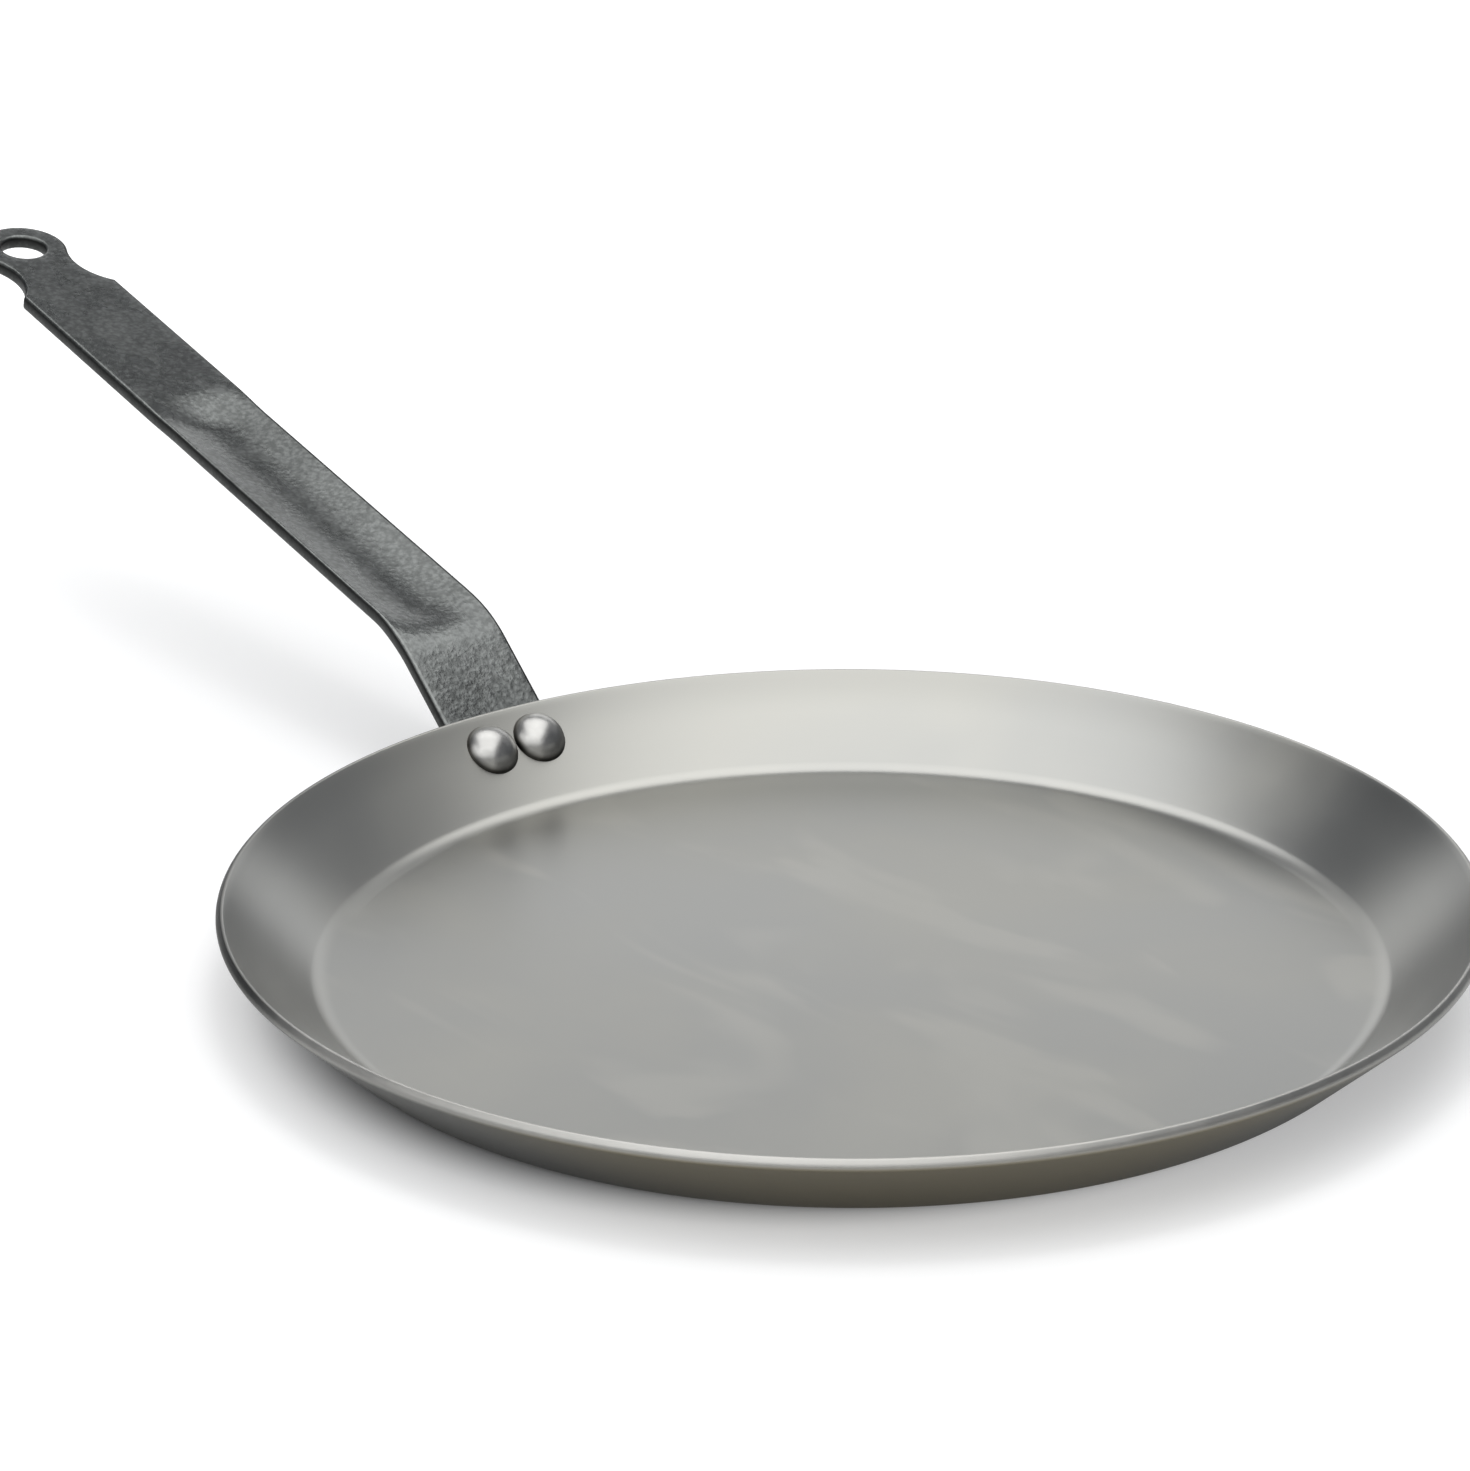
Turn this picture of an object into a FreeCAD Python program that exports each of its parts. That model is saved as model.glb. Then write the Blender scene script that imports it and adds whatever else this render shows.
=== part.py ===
"""Riveted steel crepe pan: a pressed pan body, a bent strip handle and two round head rivets.

Millimetres, +Z up. The origin is the centre of the base on the resting plane, and the handle
runs out along +X.
"""

import FreeCAD
import Part
import math
import os

Vector = FreeCAD.Vector

# Pan body: one pressed sheet, whose floor is as wide as its height and wall angle leave it
rim_dia = 260.0
pan_height = 19.7
sheet = 2.5
wall_angle = 42.0
corner_radius = 6.5
rim_round_share = 0.26

# Handle: one strip, riveted by its palm to the outside of the wall, its eye set out from the rim
handle_width = 25.7
handle_thickness = 3.5
palm_drop = 18.0
palm_corner_radius = 4.0
neck_length = 26.3
bend_radius = 33.5
grip_angle = 13.4
eye_reach = 204.2

# Trough pressed into the top of the grip, from a little way round the bend outwards
trough_bend_share = 0.13
trough_length = 119.5
trough_depth = 2.6
trough_low_runout = 16.0
trough_high_runout = 17.0

# Hanging eye and the neck that leads to it
eye_dia = 21.6
eye_hole_dia = 11.0
neck_inset = 2.4
shoulder_radius = 17.0
shoulder_corner_radius = 0.8

# Rivets
rivet_drop = 9.1
rivet_head_gap = 0.15
rivet_head_dia = 12.4
rivet_head_height = 4.2
rivet_shank_dia = 6.0
set_head_dia = 11.5
set_head_height = 3.0

# Clearances, the tolerance for finding an edge, and the overrun of every cutting tool
rivet_hole_clearance = 0.1
seat_gap = 0.02
edge_tolerance = 0.01
overrun = 5.0

# Crown of the strip's section, as heights of a quartic curve's poles across the width
pole_width_shares = (-0.5, -0.25, 0.0, 0.25, 0.5)
trough_pole_shares = (0.0, -0.8, -1.6, -0.8, 0.0)
palm_pole_shares = (1.0, 0.0, -1.0 / 3.0, 0.0, 1.0)

# A pressed section keeps its length round the crown, which draws its edges in
draw_in_share = 8.0 / 3.0

# Counts of sections in the lofts
bend_sections = 6
runout_sections = 6

# Lines that the pieces share, as (distance from the axis, height).
# The rim's corners, before they are rounded, stand a little outside its diameter and height.
wall = math.radians(wall_angle)
grip = math.radians(grip_angle)
rim_round = sheet * rim_round_share
round_loss = rim_round * (math.cos(wall) + math.sin(wall) - 1)
up_wall = (math.cos(wall), math.sin(wall))
off_wall = (math.sin(wall), -math.cos(wall))
up_grip = (math.cos(grip), math.sin(grip))


def shifted(point, direction, distance):
    """Point in the plane through the axis, moved along a unit direction."""
    return (point[0] + direction[0] * distance, point[1] + direction[1] * distance)


def in_space(point, across=0.0):
    """Point of the plane through the axis and the handle, set off sideways."""
    return Vector(point[0], across, point[1])


outer_rim = (rim_dia / 2 + round_loss, pan_height + round_loss + sheet * off_wall[1])
inner_rim = shifted(outer_rim, off_wall, -sheet)
wall_length = (inner_rim[1] - sheet - corner_radius * (1 + off_wall[1])) / up_wall[1]
wall_foot = shifted(inner_rim, up_wall, -wall_length)
corner_centre = shifted(wall_foot, off_wall, -corner_radius)


# Pan body

def corner_arc(radius):
    """Arc of the pressed corner from floor to wall, at the given radius about its centre."""
    low = (corner_centre[0], corner_centre[1] - radius)
    middle = (
        corner_centre[0] + radius * math.sin(wall / 2),
        corner_centre[1] - radius * math.cos(wall / 2),
    )
    high = shifted(corner_centre, off_wall, radius)
    return Part.Arc(in_space(low), in_space(middle), in_space(high)).toShape(), low, high


def rim_arc(corner, along, across, radius):
    """Rounded rim edge between the wall's face and the rim's cut face."""
    first = shifted(corner, along, -radius)
    last = shifted(corner, across, radius)
    centre = shifted(first, across, radius)
    reach = math.hypot(corner[0] - centre[0], corner[1] - centre[1])
    towards = ((corner[0] - centre[0]) / reach, (corner[1] - centre[1]) / reach)
    middle = shifted(centre, towards, radius)
    return Part.Arc(in_space(first), in_space(middle), in_space(last)).toShape(), first, last


def make_pan_blank():
    """Sheet pressed to a flat floor and a straight wall, before its rivet holes."""
    into_wall = (-off_wall[0], -off_wall[1])
    outside, base_edge, outer_foot = corner_arc(corner_radius + sheet)
    inside, floor_edge, inner_foot = corner_arc(corner_radius)
    outer_edge, outer_first, outer_last = rim_arc(outer_rim, up_wall, into_wall, rim_round)
    inner_edge, inner_first, inner_last = rim_arc(inner_rim, up_wall, off_wall, rim_round)
    base_centre = (0.0, 0.0)
    floor_centre = (0.0, sheet)
    outline = Part.Wire([
        Part.makeLine(in_space(base_centre), in_space(base_edge)),
        outside,
        Part.makeLine(in_space(outer_foot), in_space(outer_first)),
        outer_edge,
        Part.makeLine(in_space(outer_last), in_space(inner_last)),
        inner_edge,
        Part.makeLine(in_space(inner_first), in_space(inner_foot)),
        inside,
        Part.makeLine(in_space(floor_edge), in_space(floor_centre)),
        Part.makeLine(in_space(floor_centre), in_space(base_centre)),
    ])
    return Part.Face(outline).revolve(Vector(0, 0, 0), Vector(0, 0, 1), 360)


# Handle, along a line on its top face: up the wall, round the bend and out along the grip

bend_turn = wall - grip
bend_top_radius = bend_radius + handle_thickness
bend_tangent = bend_top_radius * math.tan(bend_turn / 2)
bend_length = bend_top_radius * bend_turn
palm_line = shifted(outer_rim, off_wall, seat_gap)
bend_corner = shifted(palm_line, up_wall, neck_length)
bend_start = shifted(bend_corner, up_wall, -bend_tangent)
bend_end = shifted(bend_corner, up_grip, bend_tangent)
bend_centre = shifted(bend_start, off_wall, bend_top_radius)
trough_start = bend_length * trough_bend_share
trough_end = trough_start + trough_length
eye_station = bend_length + (outer_rim[0] + eye_reach - bend_end[0]) / up_grip[0]


def strip_line(station):
    """Point and slope of the top face, at a distance along the strip from the bend's start."""
    if station <= 0:
        return shifted(bend_start, up_wall, station), wall
    if station >= bend_length:
        return shifted(bend_end, up_grip, station - bend_length), grip
    slope = wall - station / bend_top_radius
    return shifted(bend_centre, (-math.sin(slope), math.cos(slope)), bend_top_radius), slope


def dish_depth(station):
    """Depth of the trough at a station, eased in and out over its runouts."""
    low = (station - trough_start) / trough_low_runout
    high = (trough_end - station) / trough_high_runout
    share = max(min(low, high, 1), 0)
    return trough_depth * (1 - math.cos(math.pi * share)) / 2


def palm_rise(station):
    """Rise of the palm's edges at a station, which fits it to the curve of the wall."""
    point, _ = strip_line(station)
    return (handle_width / 2) ** 2 * math.sin(wall) / (2 * point[0])


def strip_section(station, rise=0.0, dish=0.0):
    """Closed section of the strip, square to its line."""
    point, slope = strip_line(station)
    up = (-math.sin(slope), math.cos(slope))
    width = handle_width - draw_in_share * dish ** 2 / handle_width
    lift = [rise * palm + dish * trough for palm, trough in zip(palm_pole_shares, trough_pole_shares)]
    top = [
        in_space(shifted(point, up, height), width * share)
        for height, share in zip(lift, pole_width_shares)
    ]
    through = in_space(shifted((0.0, 0.0), up, -handle_thickness))
    bottom = [pole + through for pole in reversed(top)]
    curves = []
    for poles in (top, bottom):
        curve = Part.BezierCurve()
        curve.setPoles(poles)
        curves.append(curve.toShape())
    return Part.Wire([
        curves[0],
        Part.makeLine(top[-1], bottom[0]),
        curves[1],
        Part.makeLine(bottom[-1], top[0]),
    ])


def make_palm():
    """Riveted end of the strip, curved to the wall, with rounded lower corners."""
    rim_station = bend_tangent - neck_length
    low_station = rim_station - palm_drop
    ends = [strip_section(station, palm_rise(station)) for station in (low_station, rim_station)]
    palm = Part.makeLoft(ends, True, True)
    low, _ = strip_line(low_station)
    base = shifted(low, off_wall, -overrun)
    high_along = palm_drop + overrun
    corner_along = palm_corner_radius
    half = handle_width / 2
    inner = half - palm_corner_radius
    bulge = palm_corner_radius * (1 - math.sqrt(0.5))

    def at(along, across):
        return in_space(shifted(base, up_wall, along), across)

    outline = Part.Wire([
        Part.makeLine(at(0, -inner), at(0, inner)),
        Part.Arc(at(0, inner), at(bulge, half - bulge), at(corner_along, half)).toShape(),
        Part.makeLine(at(corner_along, half), at(high_along, half)),
        Part.makeLine(at(high_along, half), at(high_along, -half)),
        Part.makeLine(at(high_along, -half), at(corner_along, -half)),
        Part.Arc(at(corner_along, -half), at(bulge, bulge - half), at(0, -inner)).toShape(),
    ])
    depth = handle_thickness + 2 * overrun
    return palm.common(Part.Face(outline).extrude(in_space(shifted((0.0, 0.0), off_wall, depth))))


def make_grip():
    """Neck above the rim, bend and dished grip, up to the end of the trough."""
    rim_station = bend_tangent - neck_length
    full_start = trough_start + trough_low_runout
    full_end = trough_end - trough_high_runout
    bend_steps = [bend_length * step / bend_sections for step in range(bend_sections + 1)]
    low_end = max(bend_length, full_start)
    low_steps = [step for step in bend_steps if step < low_end] + [low_end]
    high_shares = [step / runout_sections for step in range(runout_sections + 1)]
    high_steps = [full_end + trough_high_runout * share for share in high_shares]

    def dished(steps, ruled):
        return Part.makeLoft([strip_section(step, 0, dish_depth(step)) for step in steps], True, ruled)

    neck_ends = [strip_section(rim_station, palm_rise(rim_station)), strip_section(0)]
    neck = Part.makeLoft(neck_ends, True, True)
    return [neck, dished(low_steps, False), dished([low_end, full_end], True), dished(high_steps, False)]


def make_eye_end():
    """Flat end of the strip: straight sides, concave shoulders, and the eye with its hole."""
    eye_radius = eye_dia / 2
    half = handle_width / 2
    start, _ = strip_line(trough_end)
    eye_along = eye_station - trough_end
    arc_across = eye_radius - neck_inset + shoulder_radius
    arc_along = eye_along - math.sqrt((eye_radius + shoulder_radius) ** 2 - arc_across ** 2)
    corner_along = arc_along - math.sqrt(shoulder_radius ** 2 - (arc_across - half) ** 2)
    eye_share = eye_radius / (eye_radius + shoulder_radius)
    touch_along = eye_along + (arc_along - eye_along) * eye_share
    touch_across = arc_across * eye_share
    through = in_space(shifted((0.0, 0.0), (math.sin(grip), -math.cos(grip)), handle_thickness))

    def at(along, across):
        return in_space(shifted(start, up_grip, along), across)

    def shoulder(side):
        return Part.Arc(
            at(corner_along, half * side),
            at(arc_along, (arc_across - shoulder_radius) * side),
            at(touch_along, touch_across * side),
        ).toShape()

    outline = Part.Wire([
        Part.makeLine(at(0, -half), at(corner_along, -half)),
        shoulder(-1),
        Part.Arc(
            at(touch_along, -touch_across), at(eye_along + eye_radius, 0), at(touch_along, touch_across)
        ).toShape(),
        shoulder(1),
        Part.makeLine(at(corner_along, half), at(0, half)),
        Part.makeLine(at(0, half), at(0, -half)),
    ])
    plate = Part.Face(outline).extrude(through)
    for side in (1, -1):
        corner = at(corner_along, half * side) + through / 2
        sharp = [edge for edge in plate.Edges if edge.CenterOfMass.isEqual(corner, edge_tolerance)]
        plate = plate.makeFillet(shoulder_corner_radius, sharp)
    hole_length = handle_thickness + 2 * overrun
    hole_top = at(eye_along, 0) - through * (overrun / handle_thickness)
    return plate.cut(Part.makeCylinder(eye_hole_dia / 2, hole_length, hole_top, through))


# Rivets, each square to the wall at its own place

rivet_seat = shifted(inner_rim, up_wall, -rivet_drop)
rivet_axis = in_space(off_wall)
rivet_spacing = max(rivet_head_dia, set_head_dia) + rivet_head_gap
rivet_turn = math.degrees(math.asin(rivet_spacing / 2 / rivet_seat[0]))
palm_face = sheet + seat_gap + handle_thickness


def turned(shape, degrees):
    """Copy of a shape, turned about the pan's axis."""
    copy = shape.copy()
    copy.rotate(Vector(0, 0, 0), Vector(0, 0, 1), degrees)
    return copy


def dome(radius, height, skirt):
    """Round head standing up from its own origin, with a skirt below it to be cut to its seat."""
    ball = (radius ** 2 + height ** 2) / (2 * height)
    rise = math.asin(radius / ball) / 2
    middle = (ball * math.sin(rise), height - ball * (1 - math.cos(rise)))
    outline = [
        Part.Arc(in_space((0.0, height)), in_space(middle), in_space((radius, 0.0))).toShape(),
        Part.makeLine(in_space((radius, 0.0)), in_space((radius, -skirt))),
        Part.makeLine(in_space((radius, -skirt)), in_space((0.0, -skirt))),
        Part.makeLine(in_space((0.0, -skirt)), in_space((0.0, height))),
    ]
    return Part.Face(Part.Wire(outline)).revolve(Vector(0, 0, 0), Vector(0, 0, 1), 360)


def stood(shape, depth, direction):
    """Shape stood on the rivet's line, at a depth below the inner wall."""
    copy = shape.copy()
    place = in_space(shifted(rivet_seat, off_wall, depth))
    copy.Placement = FreeCAD.Placement(place, FreeCAD.Rotation(Vector(0, 0, 1), direction))
    return copy


def make_rivet(side, pan_blank, palm_blank):
    """One set rivet: round head inside the wall, shank, and set head on the palm."""
    turn = rivet_turn * side
    skirt = seat_gap + (set_head_dia / 2) ** 2 / outer_rim[0]
    head = stood(dome(rivet_head_dia / 2, rivet_head_height, skirt), 0, -rivet_axis)
    set_head = stood(dome(set_head_dia / 2, set_head_height, skirt), palm_face, rivet_axis)
    head = turned(head, turn).cut(pan_blank)
    set_head = turned(set_head, turn).cut(palm_blank)
    shank_length = palm_face + (rivet_head_height + set_head_height) / 2
    shank = Part.makeCylinder(rivet_shank_dia / 2, shank_length)
    shank = turned(stood(shank, -rivet_head_height / 2, rivet_axis), turn)
    return head.fuse([shank, set_head]).removeSplitter()


def rivet_hole(side):
    """Tool for one rivet's hole through wall and palm."""
    length = palm_face + 2 * overrun
    hole = Part.makeCylinder(rivet_shank_dia / 2 + rivet_hole_clearance, length)
    return turned(stood(hole, -overrun, rivet_axis), rivet_turn * side)


def main():
    """Build the four pieces and write each one to its own file."""
    pan_blank = make_pan_blank()
    palm_blank = make_palm()
    holes = [rivet_hole(side) for side in (1, -1)]
    strip = palm_blank.fuse(make_grip() + [make_eye_end()]).removeSplitter()
    pieces = {
        "pan_body": pan_blank.cut(holes),
        "handle": strip.cut(holes),
        "rivet_left": make_rivet(1, pan_blank, palm_blank),
        "rivet_right": make_rivet(-1, pan_blank, palm_blank),
    }
    os.makedirs("parts", exist_ok=True)
    for name, piece in pieces.items():
        solids = piece.Solids
        print(name, "solids", len(solids), "valid", piece.isValid(), "volume", round(piece.Volume, 1))
        solids[0].exportStep("parts/" + name + ".step")


if __name__ == "__main__":
    main()
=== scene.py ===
"""Looks of a riveted steel crepe pan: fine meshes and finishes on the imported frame, studio and camera.

Metres, in the frame's own axes: +Z up, the origin at the centre of the base, the handle along +X.
"""

import logging
import math
from dataclasses import dataclass, field
from enum import Enum
from typing import Any, Callable, Sequence

import bmesh
import bpy
from mathutils import Matrix, Vector
from mathutils.geometry import delaunay_2d_cdt


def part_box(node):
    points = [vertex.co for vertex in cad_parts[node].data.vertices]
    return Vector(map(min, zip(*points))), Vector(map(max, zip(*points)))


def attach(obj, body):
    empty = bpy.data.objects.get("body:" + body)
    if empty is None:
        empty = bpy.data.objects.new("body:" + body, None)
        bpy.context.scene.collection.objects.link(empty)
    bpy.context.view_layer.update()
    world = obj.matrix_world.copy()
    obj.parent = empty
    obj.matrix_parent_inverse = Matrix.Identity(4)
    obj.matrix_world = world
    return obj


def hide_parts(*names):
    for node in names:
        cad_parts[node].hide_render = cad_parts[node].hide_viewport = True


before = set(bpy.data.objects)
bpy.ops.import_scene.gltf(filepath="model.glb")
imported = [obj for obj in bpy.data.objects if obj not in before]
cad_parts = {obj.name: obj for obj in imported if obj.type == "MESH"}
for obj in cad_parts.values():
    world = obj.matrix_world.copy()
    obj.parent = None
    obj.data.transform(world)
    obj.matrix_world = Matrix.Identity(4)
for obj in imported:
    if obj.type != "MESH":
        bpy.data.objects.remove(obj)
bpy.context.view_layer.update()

LOG = logging.getLogger("crepe_pan")
BODY = "root"
MILLIMETRE = 0.001
DIAGONAL = math.sqrt(0.5)
# Middle of a share or of a noise
MIDDLE = 0.5
# Blender's number for triangles inside the border only
INSIDE_ONLY = 1

Plan = tuple[float, float]
Colour = tuple[float, float, float]
Masks = dict["Mask", list[float]]

BLACK: Colour = (0.0, 0.0, 0.0)
WHITE: Colour = (1.0, 1.0, 1.0)


class Node(str, Enum):
    """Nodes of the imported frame."""

    PAN = "pan_body"
    HANDLE = "handle"
    LEFT_RIVET = "rivet_left"
    RIGHT_RIVET = "rivet_right"


class Slot(str, Enum):
    """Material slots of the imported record."""

    PAN = "pan_steel"
    HANDLE = "handle_steel"
    RIVET = "rivet_steel"


class Mask(str, Enum):
    """Mesh attributes that the finishes read."""

    # The edge mask carries wear together with a painted highlight; the side mask carries painted shade
    # on the pan's rim, the handle's sides and the rivets' feet
    EDGE = "edge"
    OUTSIDE = "outside"
    SIDE = "side"
    WALL = "wall"


# Plane geometry shared by the pieces


def moved(point: Plan, direction: Plan, distance: float) -> Plan:
    """Move a plane point along a unit direction.

    Args:
        point: Point to move.
        direction: Unit direction in the same plane.
        distance: How far to move.

    Returns:
        The moved point.
    """
    return (point[0] + direction[0] * distance, point[1] + direction[1] * distance)


def along(point: Plan, origin: Plan, direction: Plan) -> float:
    """How far a plane point lies from an origin along a unit direction."""
    return (point[0] - origin[0]) * direction[0] + (point[1] - origin[1]) * direction[1]


def arc_angles(start: float, end: float, steps: int) -> list[float]:
    """Evenly spaced angles from start to end, both included."""
    return [start + (end - start) * step / steps for step in range(steps + 1)]


def on_circle(centre: Plan, radius: float, angle: float) -> Plan:
    """Point of a circle at an angle."""
    return (centre[0] + radius * math.cos(angle), centre[1] + radius * math.sin(angle))


def clamped(value: float) -> float:
    """A value held between nought and one."""
    return min(max(value, 0.0), 1.0)


def spread(start: float, end: float, step: float) -> list[float]:
    """Even places from start to end, no further apart than the step, both ends included."""
    count = max(1, math.ceil(abs(end - start) / step))
    return arc_angles(start, end, count)


# Mesh and node helpers


def new_mesh_object(
    name: str, points: Sequence[Vector], faces: Sequence[Sequence[int]]
) -> bpy.types.Object:
    """Make a smooth mesh object at the origin.

    Args:
        name: Name of the object and its mesh.
        points: Vertices in the frame's own axes.
        faces: Vertex indices of each face, counter-clockwise from outside.

    Returns:
        The linked object.
    """
    mesh = bpy.data.meshes.new(name)
    mesh.from_pydata([tuple(point) for point in points], [], [tuple(face) for face in faces])
    mesh.update()
    mesh.shade_smooth()
    piece = bpy.data.objects.new(name, mesh)
    bpy.context.scene.collection.objects.link(piece)
    return piece


def paint_masks(piece: bpy.types.Object, masks: Masks) -> None:
    """Store one value per vertex for each mask that the finish reads.

    Args:
        piece: Object whose mesh gets the masks.
        masks: Values of each mask, in the order of the vertices.
    """
    for mask, values in masks.items():
        layer = piece.data.attributes.new(mask.value, "FLOAT", "POINT")
        layer.data.foreach_set("value", values)


def settle(piece: bpy.types.Object) -> None:
    """Turn the evaluated result of a piece's modifiers into its own plain mesh.

    Args:
        piece: Object whose modifiers are applied and removed.
    """
    graph = bpy.context.evaluated_depsgraph_get()
    made = bpy.data.meshes.new_from_object(piece.evaluated_get(graph), depsgraph=graph)
    piece.modifiers.clear()
    old = piece.data
    piece.data = made
    bpy.data.meshes.remove(old)
    made.name = piece.name


def weld(piece: bpy.types.Object, distance: float) -> None:
    """Merge the doubles of a closed piece and turn its faces outwards.

    Args:
        piece: Object with a closed mesh.
        distance: Vertices closer than this become one.
    """
    work = bmesh.new()
    work.from_mesh(piece.data)
    bmesh.ops.remove_doubles(work, verts=work.verts[:], dist=distance)
    bmesh.ops.dissolve_degenerate(work, edges=work.edges[:], dist=distance)
    bmesh.ops.recalc_face_normals(work, faces=work.faces[:])
    work.to_mesh(piece.data)
    work.free()
    piece.data.update()


@dataclass
class NodeBench:
    """Adds nodes to a tree and joins them by what each input is given."""

    tree: bpy.types.NodeTree

    def add(self, kind: str, given: dict[Any, Any] | None = None, **settings: Any) -> bpy.types.Node:
        """Add a node.

        Args:
            kind: Blender's type name of the node.
            given: Value or output socket for each input, by the input's name or number.
            settings: Properties of the node itself.

        Returns:
            The new node.
        """
        node = self.tree.nodes.new(kind)
        for name, value in settings.items():
            setattr(node, name, value)
        for name, value in (given or {}).items():
            self.give(node.inputs[name], value)
        return node

    def give(self, socket: bpy.types.NodeSocket, value: Any) -> None:
        """Link an input to an output socket, or set its value.

        Args:
            socket: The input.
            value: Output socket to link, or value to set.
        """
        if isinstance(value, bpy.types.NodeSocket):
            self.tree.links.new(value, socket)
        else:
            socket.default_value = value

    def math(self, operation: str, *values: Any) -> bpy.types.NodeSocket:
        """Add a Math node and return its result."""
        return self.add("ShaderNodeMath", dict(enumerate(values)), operation=operation).outputs[0]

    def plus(self, first: Any, second: Any) -> bpy.types.NodeSocket:
        """Add a Math node for the sum of two values."""
        return self.math("ADD", first, second)

    def minus(self, first: Any, second: Any) -> bpy.types.NodeSocket:
        """Add a Math node for the first value less the second."""
        return self.math("SUBTRACT", first, second)

    def times(self, first: Any, second: Any) -> bpy.types.NodeSocket:
        """Add a Math node for the product of two values."""
        return self.math("MULTIPLY", first, second)

    def opposite(self, value: Any) -> bpy.types.NodeSocket:
        """Add a Math node that changes a value's sign."""
        return self.times(value, -1.0)

    def mask(self, mask: Mask) -> bpy.types.NodeSocket:
        """Add an Attribute node that reads one of the mesh's masks."""
        return self.add("ShaderNodeAttribute", attribute_name=mask.value).outputs["Fac"]

    def noise(
        self, place: Any, scale: Any, detail: float, roughness: float = 0.5, distortion: float = 0.0
    ) -> bpy.types.NodeSocket:
        """Add a Noise Texture node.

        Args:
            place: Where the noise is read.
            scale: Waves in a metre.
            detail: Finer octaves on top of the first.
            roughness: Strength of each octave beside the one before.
            distortion: How far the noise bends its own place.

        Returns:
            The noise's value, about a half on average.
        """
        given = {
            "Vector": place, "Scale": scale, "Detail": detail, "Roughness": roughness,
            "Distortion": distortion,
        }
        return self.add("ShaderNodeTexNoise", given).outputs[0]

    def vector(self, x: Any, y: Any, z: Any) -> bpy.types.NodeSocket:
        """Add a Combine XYZ node and return its vector."""
        return self.add("ShaderNodeCombineXYZ", {"X": x, "Y": y, "Z": z}).outputs[0]

    def ranged(
        self, value: Any, low: Any, high: Any, to_low: Any, to_high: Any
    ) -> bpy.types.NodeSocket:
        """Add a smooth, clamped Map Range node.

        Args:
            value: Value to map.
            low: Value that becomes to_low.
            high: Value that becomes to_high.
            to_low: Result at and below low.
            to_high: Result at and above high.

        Returns:
            The mapped value.
        """
        given = dict(enumerate((value, low, high, to_low, to_high)))
        node = self.add("ShaderNodeMapRange", given, interpolation_type="SMOOTHSTEP")
        return node.outputs[0]

    def mixed(self, factor: Any, first: Any, second: Any) -> bpy.types.NodeSocket:
        """Add a colour Mix node and return its colour."""
        node = self.add("ShaderNodeMix", {0: factor, 6: first, 7: second}, data_type="RGBA")
        return node.outputs[2]


def rgba(colour: Colour) -> tuple[float, float, float, float]:
    """A colour as Blender's sockets take it."""
    return (*colour, 1.0)


# Shader groups that more than one finish uses


class SurfaceEffect(Enum):
    """Shared surface effects, each one node group."""

    CLOUDS = "soft_clouds"
    BRUSHING = "turned_brushing"
    WEAR_AND_HIGHLIGHT = "edge_wear_and_highlight"


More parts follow.
